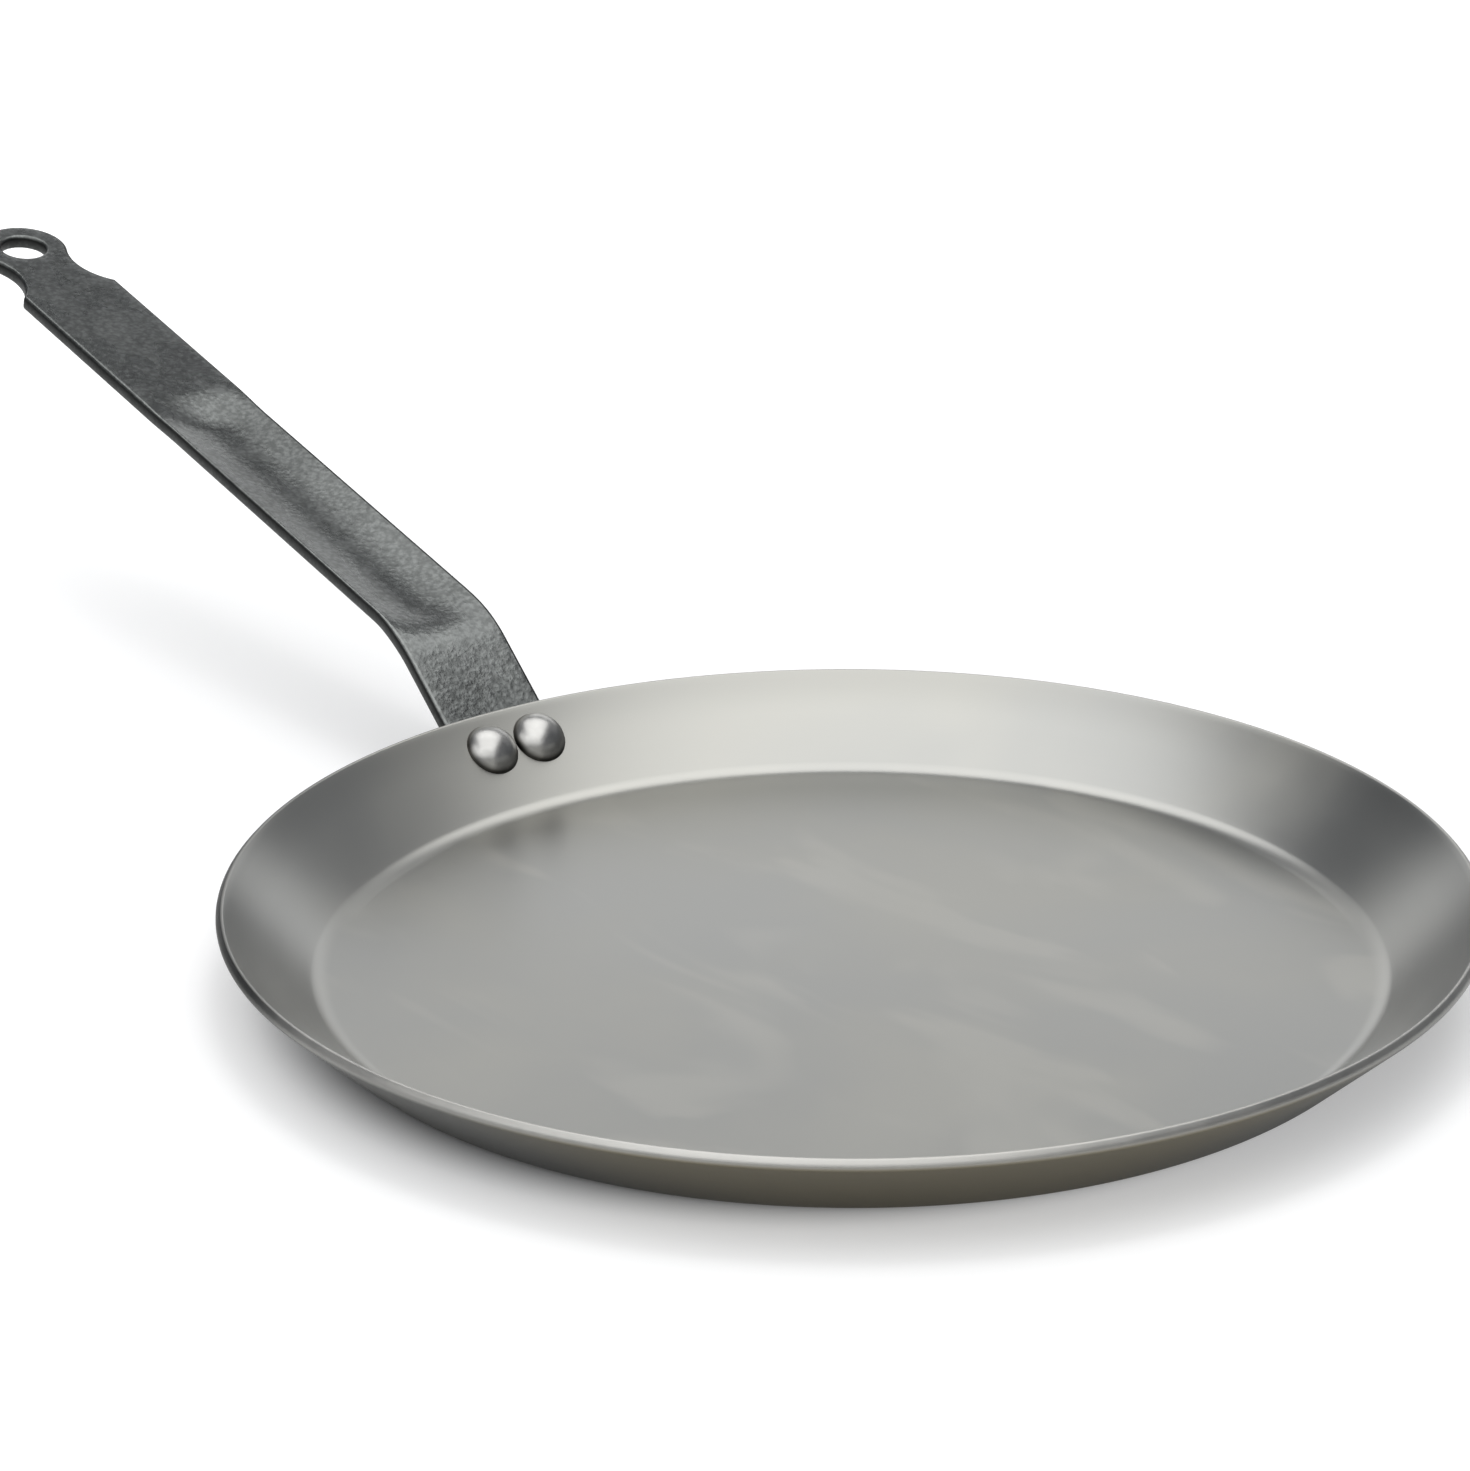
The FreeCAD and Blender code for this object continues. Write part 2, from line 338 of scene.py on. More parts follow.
@dataclass
class EffectLibrary:
    """Builds each shared effect once and places it in materials."""

    groups: dict[SurfaceEffect, bpy.types.NodeTree] = field(default_factory=dict)
    broad_range: tuple[float, float] = (0.3, 0.7)
    drawn_fineness: float = 2.2
    drawn_middle: float = 0.56
    wear_range: tuple[float, float] = (0.3, 0.6)

    def place(
        self, bench: NodeBench, effect: SurfaceEffect, given: dict[str, Any]
    ) -> bpy.types.Node:
        """Place an effect in a material.

        Args:
            bench: Bench of the material's tree.
            effect: Which effect to place.
            given: Values or sockets for the group's named inputs.

        Returns:
            The group node.
        """
        builders: dict[SurfaceEffect, Callable[[], bpy.types.NodeTree]] = {
            SurfaceEffect.CLOUDS: self.build_clouds,
            SurfaceEffect.BRUSHING: self.build_brushing,
            SurfaceEffect.WEAR_AND_HIGHLIGHT: self.build_wear_and_highlight,
        }
        if effect not in self.groups:
            self.groups[effect] = builders[effect]()
        node = bench.add("ShaderNodeGroup", node_tree=self.groups[effect])
        for name, value in given.items():
            bench.give(node.inputs[name], value)
        return node

    def start(
        self, effect: SurfaceEffect, inputs: dict[str, str], outputs: Sequence[str]
    ) -> tuple[NodeBench, bpy.types.Node, bpy.types.Node]:
        """Open a new group with named sockets.

        Args:
            effect: Effect that the group makes.
            inputs: Socket type of each named input.
            outputs: Names of the value outputs.

        Returns:
            The group's bench, its input node and its output node.
        """
        tree = bpy.data.node_groups.new(effect.value, "ShaderNodeTree")
        for name, kind in inputs.items():
            tree.interface.new_socket(name, in_out="INPUT", socket_type=kind)
        for name in outputs:
            tree.interface.new_socket(name, in_out="OUTPUT", socket_type="NodeSocketFloat")
        bench = NodeBench(tree)
        return bench, bench.add("NodeGroupInput"), bench.add("NodeGroupOutput")

    def build_clouds(self) -> bpy.types.NodeTree:
        """Two soft noises, one drawn out along X: the cloudy tone of rolled and handled metal.

        Returns:
            The group's tree.
        """
        inputs = {
            "Vector": "NodeSocketVector", "Scale": "NodeSocketFloat", "Stretch": "NodeSocketFloat",
            "Softness": "NodeSocketFloat",
        }
        bench, source, result = self.start(SurfaceEffect.CLOUDS, inputs, ["Broad", "Drawn"])
        given = source.outputs
        broad = bench.noise(given["Vector"], given["Scale"], detail=3.0, roughness=0.45, distortion=0.4)
        bench.give(result.inputs["Broad"], bench.ranged(broad, *self.broad_range, 0.0, 1.0))
        squeezed = {0: given["Vector"], 1: bench.vector(given["Stretch"], 1.0, 1.0)}
        place = bench.add("ShaderNodeVectorMath", squeezed, operation="MULTIPLY")
        finer = bench.times(given["Scale"], self.drawn_fineness)
        drawn = bench.noise(place.outputs[0], finer, detail=2.0, distortion=1.1)
        low = bench.minus(self.drawn_middle, given["Softness"])
        high = bench.plus(self.drawn_middle, given["Softness"])
        bench.give(result.inputs["Drawn"], bench.ranged(drawn, low, high, 0.0, 1.0))
        return bench.tree

    def build_brushing(self) -> bpy.types.NodeTree:
        """Fine lines round the axis, from noise on angle, radius and height.

        Returns:
            The group's tree.
        """
        inputs = {"Vector": "NodeSocketVector", "Lines": "NodeSocketFloat", "Length": "NodeSocketFloat"}
        bench, source, result = self.start(SurfaceEffect.BRUSHING, inputs, ["Lines"])
        x, y, z = bench.add("ShaderNodeSeparateXYZ", {0: source.outputs["Vector"]}).outputs
        angle = bench.math("ARCTAN2", y, x)
        radius = bench.math("SQRT", bench.plus(bench.times(x, x), bench.times(y, y)))
        lines = source.outputs["Lines"]
        place = bench.vector(
            bench.times(angle, source.outputs["Length"]),
            bench.times(radius, lines),
            bench.times(z, lines),
        )
        bench.give(result.inputs["Lines"], bench.noise(place, 1.0, detail=3.0, roughness=0.6))
        return bench.tree

    def build_wear_and_highlight(self) -> bpy.types.NodeTree:
        """Rubbed edges, which also carry painted highlights: the mesh's own edge mask, broken up by a
        fine noise.

        Returns:
            The group's tree.
        """
        inputs = {
            "Vector": "NodeSocketVector", "Scale": "NodeSocketFloat", "Amount": "NodeSocketFloat",
            "Least": "NodeSocketFloat",
        }
        bench, source, result = self.start(SurfaceEffect.WEAR_AND_HIGHLIGHT, inputs, ["Worn"])
        given = source.outputs
        patches = bench.noise(given["Vector"], given["Scale"], detail=2.0)
        broken = bench.ranged(patches, *self.wear_range, given["Least"], 1.0)
        # Edge wear, which also stands for the painted highlight on the pan's rim and on the handle's lit
        # edge
        worn_and_lit = bench.times(bench.times(bench.mask(Mask.EDGE), broken), given["Amount"])
        bench.give(result.inputs["Worn"], worn_and_lit)
        return bench.tree


# Finishes


@dataclass(frozen=True)
class Finish:
    """A finish that makes one node material."""

    name: str
    slot: Slot

    def build(self, effects: EffectLibrary) -> bpy.types.Material:
        """Make the material.

        Args:
            effects: Library of the shared effects.

        Returns:
            The finished material.
        """
        material = bpy.data.materials.new(self.name)
        material.use_nodes = True
        bench = NodeBench(material.node_tree)
        shader = material.node_tree.nodes["Principled BSDF"]
        place = bench.add("ShaderNodeTexCoord").outputs["Object"]
        self.dress(bench, shader, place, effects)
        return material

    def dress(
        self,
        bench: NodeBench,
        shader: bpy.types.Node,
        place: bpy.types.NodeSocket,
        effects: EffectLibrary,
    ) -> None:
        """Join the finish's nodes to its shader; each finish has its own."""
        raise NotImplementedError


@dataclass(frozen=True)
class SatinSteel(Finish):
    """Bare carbon steel with a satin face: cloudy floor, faintly lined wall, darker outside as painted
    shade.
    """

    pale: Colour = (0.412, 0.408, 0.38)
    deep: Colour = (0.355, 0.356, 0.343)
    cloud_scale: float = 14.0
    cloud_stretch: float = 0.45
    cloud_gloss: float = 0.07
    smear: Colour = (0.448, 0.443, 0.411)
    smear_share: float = 0.6
    smear_softness: float = 0.08
    # Painted highlight: a paler colour where the floor turns into the wall, in place of the corner's
    # reflection
    corner_painted_highlight: Colour = (0.56, 0.553, 0.52)
    corner_highlight_gain: float = 1.3
    rim_shade: float = 0.91
    rim_shade_reach: tuple[float, float] = (0.012, 0.0185)
    # Painted shade: the outside's darker colour stands in for the shadowed floor that it reflects, with
    # a painted warm reflection on one side
    outside: Colour = (0.205, 0.205, 0.196)
    painted_warm_reflection: Colour = (0.238, 0.214, 0.155)
    warm_reflection_side: tuple[float, float, float] = (-0.869, 0.495, 0.0)
    warm_reflection_reach: tuple[float, float] = (0.086, 0.12)
    # Rim edge brightened both by wear and as a painted highlight
    worn_and_lit_edge: Colour = (0.525, 0.516, 0.49)
    edge_scale: float = 240.0
    edge_amount: float = 0.7
    edge_least: float = 0.8
    edge_roughening: float = 0.22
    # Painted shade: the rim's cut face and outer rounding are darkened on one side of the pan
    shaded_rim_edge: Colour = (0.09, 0.09, 0.086)
    rim_edge_shade_side: tuple[float, float, float] = (0.638, 0.77, 0.0)
    rim_edge_shade_reach: tuple[float, float] = (0.101, 0.119)
    roughness: float = 0.32
    outside_roughness: float = 0.42
    line_scale: float = 2600.0
    line_length: float = 5.0
    line_gloss: float = 0.05
    line_relief: float = 0.4
    grain_scale: float = 1500.0
    grain_relief: float = 0.5
    relief_depth: float = 0.000012
    relief_strength: float = 0.5
    bow: float = 0.00028
    bow_middle: float = 0.012
    bow_half: float = 0.0079

    def dress(
        self,
        bench: NodeBench,
        shader: bpy.types.Node,
        place: bpy.types.NodeSocket,
        effects: EffectLibrary,
    ) -> None:
        """Cloudy colour and sheen on the floor, fine lines on the wall, rim bright from wear and painted
        highlight.

        Args:
            bench: Bench of the material's tree.
            shader: The material's shader.
            place: Socket of the place on the pan.
            effects: Library of the shared effects.
        """
        clouds = effects.place(bench, SurfaceEffect.CLOUDS, {
            "Vector": place, "Scale": self.cloud_scale, "Stretch": self.cloud_stretch,
            "Softness": self.smear_softness,
        }).outputs
        lines = effects.place(bench, SurfaceEffect.BRUSHING, {
            "Vector": place, "Lines": self.line_scale, "Length": self.line_length,
        }).outputs["Lines"]
        worn_and_lit = effects.place(bench, SurfaceEffect.WEAR_AND_HIGHLIGHT, {
            "Vector": place, "Scale": self.edge_scale, "Amount": self.edge_amount,
            "Least": self.edge_least,
        }).outputs["Worn"]
        wall, outer = bench.mask(Mask.WALL), bench.mask(Mask.OUTSIDE)
        on_floor, inner = bench.minus(1.0, wall), bench.minus(1.0, outer)
        height = bench.add("ShaderNodeSeparateXYZ", {0: place}).outputs["Z"]

        tone = bench.mixed(clouds["Broad"], rgba(self.deep), rgba(self.pale))
        smeared = bench.times(bench.times(clouds["Drawn"], on_floor), self.smear_share)
        tone = bench.mixed(smeared, tone, rgba(self.smear))
        shade = bench.ranged(height, *self.rim_shade_reach, 1.0, self.rim_shade)
        tone = bench.mixed(shade, rgba(BLACK), tone)
        # Painted highlight in the corner between floor and wall
        rounded = bench.times(bench.times(wall, wall), on_floor)
        tone = bench.mixed(bench.times(rounded, self.corner_highlight_gain), tone, rgba(self.corner_painted_highlight))
        # Painted shade on the outside, with a painted warm reflection on one side
        warm = self.on_side(bench, place, self.warm_reflection_side, self.warm_reflection_reach)
        tone = bench.mixed(outer, tone, bench.mixed(warm, rgba(self.outside), rgba(self.painted_warm_reflection)))
        # Rim edge brightened by wear and a painted highlight
        tone = bench.mixed(worn_and_lit, tone, rgba(self.worn_and_lit_edge))
        # Painted shade along the rim on one side
        edge_shade = self.on_side(bench, place, self.rim_edge_shade_side, self.rim_edge_shade_reach)
        tone = bench.mixed(bench.times(bench.mask(Mask.SIDE), edge_shade), tone, rgba(self.shaded_rim_edge))
        bench.give(shader.inputs["Base Color"], tone)

        lined = bench.times(bench.times(bench.minus(lines, MIDDLE), self.line_gloss), wall)
        clouded = bench.times(bench.minus(clouds["Broad"], MIDDLE), self.cloud_gloss)
        rough = bench.plus(lined, clouded)
        rough = bench.plus(rough, bench.times(outer, self.outside_roughness - self.roughness))
        rough = bench.plus(rough, bench.times(worn_and_lit, self.edge_roughening))
        bench.give(shader.inputs["Roughness"], bench.plus(rough, self.roughness))

        grain = bench.noise(place, self.grain_scale, detail=2.0)
        relief = bench.times(bench.times(lines, wall), self.line_relief)
        relief = bench.plus(relief, bench.times(grain, self.grain_relief))
        up_wall = bench.math("DIVIDE", bench.minus(height, self.bow_middle), self.bow_half)
        bowed = bench.times(bench.minus(bench.times(up_wall, up_wall), 1.0), inner)
        curve = bench.add("ShaderNodeBump", {"Height": bowed, "Strength": 1.0, "Distance": self.bow})
        bump = bench.add("ShaderNodeBump", {
            "Height": relief, "Strength": self.relief_strength, "Distance": self.relief_depth,
            "Normal": curve.outputs[0],
        })
        bench.give(shader.inputs["Normal"], bump.outputs[0])
        shader.inputs["Metallic"].default_value = 1.0

    def on_side(
        self, bench: NodeBench, place: Any, side: tuple[float, float, float], reach: tuple[float, float]
    ) -> bpy.types.NodeSocket:
        """Share that rises towards one side of the pan.

        Args:
            bench: Bench of the material's tree.
            place: Socket of the place on the pan.
            side: Unit direction of the side.
            reach: How far out towards the side the share starts and is full.

        Returns:
            The share's socket.
        """
        toward = bench.add("ShaderNodeVectorMath", {0: place, 1: side}, operation="DOT_PRODUCT")
        return bench.ranged(toward.outputs["Value"], *reach, 0.0, 1.0)


@dataclass(frozen=True)
class GrainedSteel(Finish):
    """Dark grey strip steel with a pebbled grain, edges brightened by wear and painted highlight,
    painted shade on its sides.
    """

    deep: Colour = (0.09, 0.0945, 0.0915)
    pale: Colour = (0.188, 0.196, 0.191)
    # Edge colour for wear that is also a painted highlight along the lit left edge
    rubbed_and_lit: Colour = (0.3, 0.31, 0.3)
    # Painted shade on the strip's sides and along its right edge
    shaded_side: Colour = (0.022, 0.023, 0.022)
    metallic: float = 0.9
    roughness: float = 0.295
    sheared_roughness: float = 0.55
    pebble_scale: float = 720.0
    pebble_smoothness: float = 0.7
    pebble_relief: float = 0.6
    fine_scale: float = 1200.0
    fine_relief: float = 0.9
    crown_range: tuple[float, float] = (0.55, 1.05)
    crown_share: float = 0.75
    grain_depth: float = 0.00015
    grip_grain_depth: float = 0.00009
    grain_strength: float = 0.7
    grip_reach: tuple[float, float] = (0.14, 0.165)
    # Painted highlight: the neck is made paler where light falls on it
    neck_highlight: float = 0.42
    neck_highlight_reach: tuple[float, float] = (0.133, 0.147)
    cloud_scale: float = 45.0
    cloud_stretch: float = 0.6
    cloud_softness: float = 0.16
    cloud_share: float = 0.25
    cloud_gloss: float = 0.08
    edge_scale: float = 700.0
    edge_amount: float = 0.45
    edge_least: float = 0.5

    def dress(
        self,
        bench: NodeBench,
        shader: bpy.types.Node,
        place: bpy.types.NodeSocket,
        effects: EffectLibrary,
    ) -> None:
        """Pebbled relief, a tone that is paler on the pebbles, a painted highlight on the neck, painted
        shade on the sides, and edges brightened by wear and painted highlight.

        Args:
            bench: Bench of the material's tree.
            shader: The material's shader.
            place: Socket of the place on the handle.
            effects: Library of the shared effects.
        """
        clouds = effects.place(bench, SurfaceEffect.CLOUDS, {
            "Vector": place, "Scale": self.cloud_scale, "Stretch": self.cloud_stretch,
            "Softness": self.cloud_softness,
        }).outputs
        worn_and_lit = effects.place(bench, SurfaceEffect.WEAR_AND_HIGHLIGHT, {
            "Vector": place, "Scale": self.edge_scale, "Amount": self.edge_amount,
            "Least": self.edge_least,
        }).outputs["Worn"]
        side = bench.mask(Mask.SIDE)
        reach = bench.add("ShaderNodeSeparateXYZ", {0: place}).outputs["X"]
        pebbles = bench.add(
            "ShaderNodeTexVoronoi",
            {"Vector": place, "Scale": self.pebble_scale, "Smoothness": self.pebble_smoothness},
            feature="SMOOTH_F1",
        )
        rise = bench.times(bench.minus(1.0, pebbles.outputs["Distance"]), self.pebble_relief)
        fine = bench.noise(place, self.fine_scale, detail=3.0, roughness=0.6)
        relief = bench.plus(rise, bench.times(fine, self.fine_relief))

        crown = bench.times(bench.ranged(relief, *self.crown_range, 0.0, 1.0), self.crown_share)
        share = bench.plus(crown, bench.times(clouds["Broad"], self.cloud_share))
        # Painted highlight on the neck, fading out towards the grip
        handled = bench.ranged(reach, *self.neck_highlight_reach, 0.0, 1.0)
        paler = bench.ranged(reach, *self.grip_reach, self.neck_highlight, 0.0)
        share = bench.plus(share, bench.times(handled, paler))
        tone = bench.mixed(share, rgba(self.deep), rgba(self.pale))
        # Painted shade on the sides
        tone = bench.mixed(side, tone, rgba(self.shaded_side))
        # Wear on the edges, with a painted highlight
        bench.give(shader.inputs["Base Color"], bench.mixed(worn_and_lit, tone, rgba(self.rubbed_and_lit)))

        sheen = bench.times(bench.minus(clouds["Drawn"], MIDDLE), self.cloud_gloss)
        gain = bench.times(side, self.sheared_roughness - self.roughness)
        bench.give(shader.inputs["Roughness"], bench.plus(bench.plus(sheen, gain), self.roughness))
        depth = bench.ranged(reach, *self.grip_reach, self.grain_depth, self.grip_grain_depth)
        bump = bench.add(
            "ShaderNodeBump", {"Height": relief, "Strength": self.grain_strength, "Distance": depth}
        )
        bench.give(shader.inputs["Normal"], bump.outputs[0])
        shader.inputs["Metallic"].default_value = self.metallic


@dataclass(frozen=True)
class PolishedSteel(Finish):
    """Rivet steel, polished by the setting tool and lightly scuffed."""

    pale: Colour = (0.52, 0.515, 0.495)
    deep: Colour = (0.44, 0.435, 0.42)
    # Painted shade where each head meets the wall
    foot_shade: Colour = (0.045, 0.042, 0.038)
    foot_shade_share: float = 0.95
    roughness: float = 0.31
    scuff_scale: float = 260.0
    scuff_stretch: float = 0.4
    scuff_softness: float = 0.16
    scuff_gloss: float = 0.06
    scuff_depth: float = 0.00001
    scuff_strength: float = 0.25

    def dress(
        self,
        bench: NodeBench,
        shader: bpy.types.Node,
        place: bpy.types.NodeSocket,
        effects: EffectLibrary,
    ) -> None:
        """Bright metal with small scuffs in its tone and gloss, and painted shade at its foot.

        Args:
            bench: Bench of the material's tree.
            shader: The material's shader.
            place: Socket of the place on the rivets.
            effects: Library of the shared effects.
        """
        clouds = effects.place(bench, SurfaceEffect.CLOUDS, {
            "Vector": place, "Scale": self.scuff_scale, "Stretch": self.scuff_stretch,
            "Softness": self.scuff_softness,
        }).outputs
        tone = bench.mixed(clouds["Broad"], rgba(self.deep), rgba(self.pale))
        # Painted shade at the foot of each head
        shaded_foot = bench.times(bench.mask(Mask.SIDE), self.foot_shade_share)
        bench.give(shader.inputs["Base Color"], bench.mixed(shaded_foot, tone, rgba(self.foot_shade)))
        sheen = bench.times(clouds["Drawn"], self.scuff_gloss)
        bench.give(shader.inputs["Roughness"], bench.plus(sheen, self.roughness))
        bump = bench.add("ShaderNodeBump", {
            "Height": clouds["Drawn"], "Strength": self.scuff_strength, "Distance": self.scuff_depth,
        })
        bench.give(shader.inputs["Normal"], bump.outputs[0])
        shader.inputs["Metallic"].default_value = 1.0


# Geometry Nodes


@dataclass
class GeometryTree:
    """A Geometry Nodes tree with named inputs, run once to make a plain mesh."""

    name: str
    sizes: dict[str, Any]

    def __post_init__(self) -> None:
        """Open the tree with one input for each size."""
        kinds = {float: "NodeSocketFloat", int: "NodeSocketInt", tuple: "NodeSocketVector"}
        self.tree = bpy.data.node_groups.new(self.name, "GeometryNodeTree")
        for name, value in self.sizes.items():
            kind = kinds.get(type(value), "NodeSocketMaterial")
            self.tree.interface.new_socket(name, in_out="INPUT", socket_type=kind)
        self.tree.interface.new_socket("Geometry", in_out="OUTPUT", socket_type="NodeSocketGeometry")
        self.bench = NodeBench(self.tree)
        self.given = self.bench.add("NodeGroupInput").outputs

    def close(self, geometry: bpy.types.NodeSocket) -> None:
        """Realize the geometry, dress it in the Material input and put it out.

        Args:
            geometry: What the tree has made.
        """
        real = self.bench.add("GeometryNodeRealizeInstances", {0: geometry})
        dressed = self.bench.add(
            "GeometryNodeSetMaterial", {"Geometry": real.outputs[0], "Material": self.given["Material"]}
        )
        self.bench.add("NodeGroupOutput", {0: dressed.outputs[0]})

    def run(self) -> bpy.types.Object:
        """Run the tree on a new object.

        Returns:
            The object, with the result as its own plain mesh.
        """
        piece = new_mesh_object(self.name, [], [])
        modifier = piece.modifiers.new(self.name, "NODES")
        modifier.node_group = self.tree
        for item in self.tree.interface.items_tree:
            if item.in_out == "INPUT":
                modifier[item.identifier] = self.sizes[item.name]
        settle(piece)
        return piece


@dataclass
class Lathe:
    """Draws a half section as (radius, height) curves and turns it about Z, in Geometry Nodes."""

    bench: NodeBench
    path_radius: float = 0.01
    weld_distance: float = 0.000002

    def point(self, radius: Any, height: Any) -> bpy.types.NodeSocket:
        """Point or direction in the section's plane."""
        return self.bench.vector(radius, height, 0.0)

    def moved(self, point: Any, direction: Any, distance: Any) -> bpy.types.NodeSocket:
        """Move a point of the section.

        Args:
            point: Point to move.
            direction: Unit direction in the section's plane.
            distance: How far to move.

        Returns:
            The moved point.
        """
        step = {0: direction, "Scale": distance}
        scaled = self.bench.add("ShaderNodeVectorMath", step, operation="SCALE").outputs[0]
        return self.bench.add("ShaderNodeVectorMath", {0: point, 1: scaled}, operation="ADD").outputs[0]

    def line(self, start: Any, end: Any, step: Any = None) -> bpy.types.NodeSocket:
        """Draw a straight run of the section.

        Args:
            start: First point.
            end: Last point.
            step: Distance between its rings; only its ends have one where this is left out.

        Returns:
            The run's curve.
        """
        run = self.bench.add("GeometryNodeCurvePrimitiveLine", {"Start": start, "End": end}).outputs[0]
        if step is None:
            return run
        given = {"Curve": run, "Length": step}
        return self.bench.add("GeometryNodeResampleCurve", given, mode="LENGTH").outputs[0]

    def arc(self, ends: tuple[Any, Any, Any], steps: Any) -> bpy.types.NodeSocket:
        """Draw an arc of the section.

        Args:
            ends: Its start, middle and end.
            steps: How many points it has.

        Returns:
            The arc's curve.
        """
        start, middle, end = ends
        given = {"Resolution": steps, "Start": start, "Middle": middle, "End": end}
        return self.bench.add("GeometryNodeCurveArc", given, mode="POINTS").outputs["Curve"]

    def turn(self, runs: Sequence[bpy.types.NodeSocket], segments: Any) -> bpy.types.NodeSocket:
        """Join the runs to one section and turn it about the axis.

        Args:
            runs: Curves of the section, end to end from axis to axis.
            segments: How many sides the turned form has.

        Returns:
            The turned mesh.
        """
        joined = self.bench.add("GeometryNodeJoinGeometry")
        for run in reversed(runs):
            self.bench.give(joined.inputs[0], run)
        wire = self.bench.add("GeometryNodeCurveToMesh", {"Curve": joined.outputs[0]})
        whole = self.bench.add(
            "GeometryNodeMergeByDistance", {"Geometry": wire.outputs[0], "Distance": self.weld_distance}
        )
        section = self.bench.add("GeometryNodeMeshToCurve", {"Mesh": whole.outputs[0]})
        flipped = self.bench.add(
            "GeometryNodeTransform",
            {"Geometry": section.outputs[0], "Translation": (-self.path_radius, 0.0, 0.0),
             "Scale": (1.0, -1.0, 1.0)},
        )
        path = self.bench.add(
            "GeometryNodeCurvePrimitiveCircle", {"Resolution": segments, "Radius": self.path_radius}
        )
        turned = self.bench.add(
            "GeometryNodeCurveToMesh",
            {"Curve": path.outputs["Curve"], "Profile Curve": flipped.outputs[0]},
        )
        return turned.outputs[0]


# Pieces


